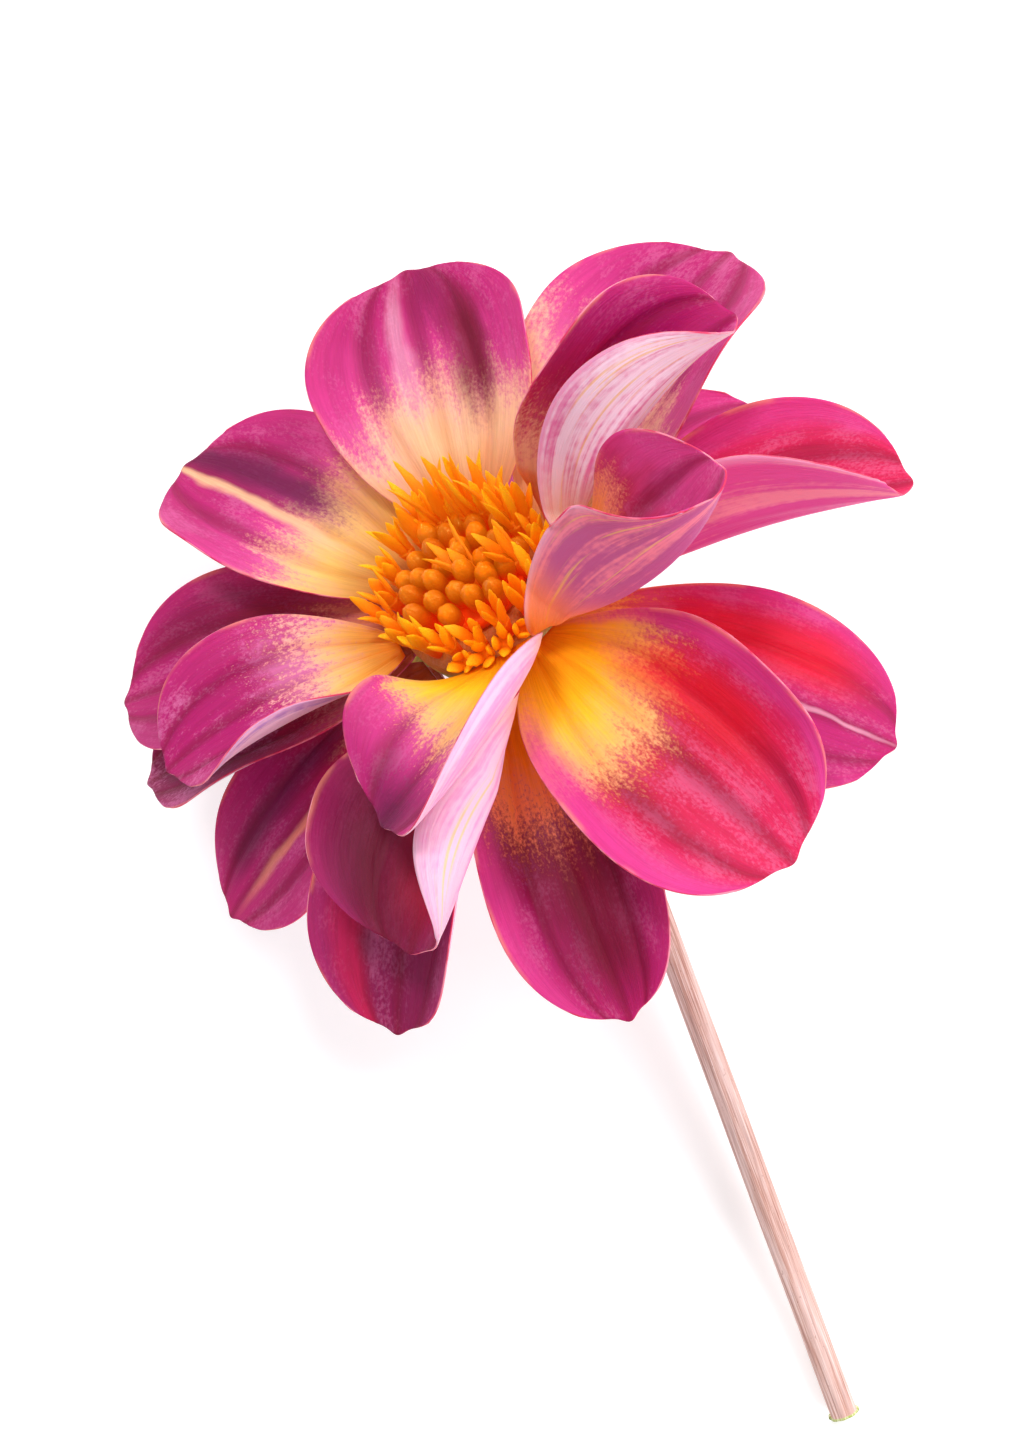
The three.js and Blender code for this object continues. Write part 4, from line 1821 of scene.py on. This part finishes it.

# CREAMY's amber root is the petals' orange base, darkened near the disc as painted shade.
CREAMY = PetalPaint(root=P.AMBER, base=P.CREAM, pale=P.CREAM, near=P.PINK, far=P.MAGENTA)
DUSKY = PetalPaint(root=P.RUST, base=P.PEACH, near=P.ROSE, far=P.PURPLE, reach=(0.2, 0.3, 0.25),
                   veins=P.VIOLET)
SUNNY = PetalPaint(root=P.ORANGE, base=P.YELLOW, pale=P.ORANGE, near=P.CRIMSON, far=P.MAGENTA)

PETALS = (
    # Petal 1's first wine band is painted shade deepening its clockwise groove.
    Petal(66, 0.82, 1.12, (30, 24, 12), (25, 40), Whorl.INNER, roll=4, paint=replace(
        CREAMY, reach=(0.4, 0.56, 0.34), bands=(
            Band(P.WINE, -0.42, 0.3, 0.4, 0.85), Band(P.PURPLE, -0.2, 0.3, 0.8, 1.2),
            Band(P.PALE_PINK, 0.18, 0.14, 0.5, 0.95, 0.4)))),
    # Petal 2's plum band over its clockwise half is painted shade on that folding half.
    Petal(115, 0.83, 1.04, (30, 22, 8), (15, 38), Whorl.MIDDLE, roll=10, paint=replace(
        CREAMY, base=P.STRAW, pale=P.CREAM, reach=(0.5, 0.48, 0.42), bands=(
            Band(P.PLUM, -0.22, 0.3, 0.4, 1.2), Band(P.CREAM, 0.08, 0.1, 0.3, 1.2, 0.8)))),
    Petal(151, 0.87, 1.0, (8, 5, -5), (45, 12), Whorl.MIDDLE, paint=replace(
        DUSKY, near=P.CRIMSON, far=P.MAGENTA, bands=(Band(P.WINE, -0.6, 0.35, 0.25, 0.95, 0.5),))),
    Petal(160, 0.9, 0.83, (0, -4, -9), (45, 40), Whorl.OUTER, paint=replace(DUSKY, bloom_and_sheen=0.5)),
    Petal(175, 0.74, 0.79, (24, 12, -15), (40, 100), Whorl.INNER, roll=-10, paint=replace(
        CREAMY, root=P.ORANGE, base=P.STRAW, near=P.MAGENTA, reach=(0.32, 0.45, 0.4), speckle=0.45,
        bloom_and_sheen=0.5, veins=P.VIOLET)),
    # Petal 6's plum band over its tip is painted shadow.
    Petal(256.8, 0.74, 1.0, (30, 18, -18), (60, 120), Whorl.INNER, sway=-75, paint=replace(
        SUNNY, pale=P.STRAW, near=P.PINK, far=P.MAGENTA, reach=(0.4, 0.66, 0.78), speckle=0.28,
        back=P.PALE_PINK, veins=P.BLUSH, vein_cover=0.5, bands=(Band(P.PLUM, 0.0, 0.7, 0.85, 1.3, 0.8),))),
    Petal(180, 0.92, 0.88, (-8, -18, -23), (15, 8), Whorl.LOWER, roll=-6, paint=replace(
        DUSKY, far=P.MAGENTA, bands=(Band(P.PEACH, 0.1, 0.12, 0.3, 0.9, 0.5),
                                     Band(P.PLUM, -0.35, 0.25, 0.3, 0.9, 0.6)))),
    Petal(236, 0.82, 1.25, (0, -6, -20), (50, 160), Whorl.MIDDLE, grow=1.8, sway=-25, paint=replace(
        DUSKY, near=P.WINE, far=P.PURPLE, back=P.PALE_PINK, veins=P.BLUSH, vein_cover=0.5, bloom_and_sheen=0.1,
        bands=(
            Band(P.WINE, -0.45, 0.7, 0.2, 1.2, 0.55), Band(P.CRIMSON, 0.15, 0.6, 0.2, 0.9, 0.9)))),
    Petal(216, 0.97, 0.92, (-16, -22, -38), (60, 55), Whorl.OUTER, crease=(0, 15), sway=1, roll=-8,
          paint=replace(DUSKY, near=P.MAGENTA, bands=(Band(P.PURPLE, 0.3, 0.25, 0.5, 1.2),
                                                      Band(P.ROSE, -0.6, 0.3, 0.4, 1.2, 0.6)))),
    Petal(250, 1.0, 0.83, (-14, -28, -37), (60, 30), Whorl.LOWER, paint=replace(
        SUNNY, base=P.ORANGE, reach=(0.3, 0.48, 0.38), speckle=0.3, near=P.WINE, far=P.MAGENTA, bands=(
            Band(P.PINK, -0.9, 0.3, 0.4, 1.2, 0.6), Band(P.WINE, 0.1, 0.7, 0.5, 0.95, 0.8)))),
    Petal(280.5, 0.97, 1.17, (0, -22, -38), (45, 60), Whorl.MIDDLE, paint=replace(
        SUNNY, pale=P.STRAW, reach=(0.45, 0.48, 0.2), far=P.ROSE, bands=(
            Band(P.RED, 0.45, 0.4, 0.25, 0.75), Band(P.PINK, 0.95, 0.2, 0.1, 1.2),
            Band(P.PINK, -0.95, 0.4, 0.2, 1.2)))),
    Petal(303.8, 0.97, 0.92, (-16, -26, -34), (0, -10), Whorl.OUTER, paint=replace(
        SUNNY, near=P.RED, far=P.MAGENTA, reach=(0.25, 0.2, 0.15), bands=(
            Band(P.RED, 0.5, 0.5, 0.3, 0.85), Band(P.PALE_PINK, 0.0, 0.05, 0.25, 1.0, 0.5)))),
    Petal(330, 1.0, 1.1, (6, 3, -10), (40, 45), Whorl.OUTER, crease=(75, 0), paint=replace(
        SUNNY, pale=P.SALMON, near=P.CRIMSON, far=P.ROSE, reach=(0.25, 0.25, 0.2), back=P.SALMON,
        veins=P.PINK, vein_cover=0.6, bands=(Band(P.PINK, 0.9, 0.25, 0.3, 1.2, 0.7),))),
    Petal(350, 0.84, 1.1, (40, 30, 5), (60, 40), Whorl.INNER, crease=(70, 60), roll=8, paint=replace(
        CREAMY, near=P.CRIMSON, back=P.LILAC, veins=P.PINK, vein_cover=0.52)),
    Petal(19, 1.0, 1.25, (18, 12, -10), (40, 40), Whorl.OUTER, paint=replace(
        CREAMY, reach=(0.38, 0.5, 0.6), near=P.PINK, far=P.MAGENTA)),
    Petal(298.6, 0.86, 1.19, (21, 29, 50), (60, 42), Whorl.INNER, crease=(75, 20), sway=45, paint=replace(
        SUNNY, base=P.ORANGE, pale=P.PEACH, far=P.PINK, reach=(0.3, 0.35, 0.45), back=P.SALMON,
        veins=P.MAUVE, vein_cover=0.74)),
    Petal(11, 0.8, 0.92, (-8, -10, -18), (20, 50), Whorl.BACK, paint=replace(CREAMY, far=P.PINK)),
    Petal(178, 0.82, 0.75, (-24, -30, -34), (40, 22), Whorl.BACK, paint=DUSKY),
    Petal(46, 1.0, 0.9, (-24, -32, -34), (4, 30), Whorl.BACK, paint=CREAMY),
    Petal(89, 0.96, 0.9, (-12, -9, 0), (30, 12), Whorl.BACK, paint=CREAMY),
    Petal(131.5, 0.98, 0.9, (-22, -30, -33), (30, 10), Whorl.BACK, paint=DUSKY),
)


def main() -> None:
    """Builds the flower in order, then the studio round it."""
    logging.basicConfig(level=logging.INFO, format="%(name)s: %(message)s")
    head = Head(PETALS)
    head.build()
    Stem(head).build()
    Studio().build(head.place.translation)


if __name__ == "__main__":
    main()
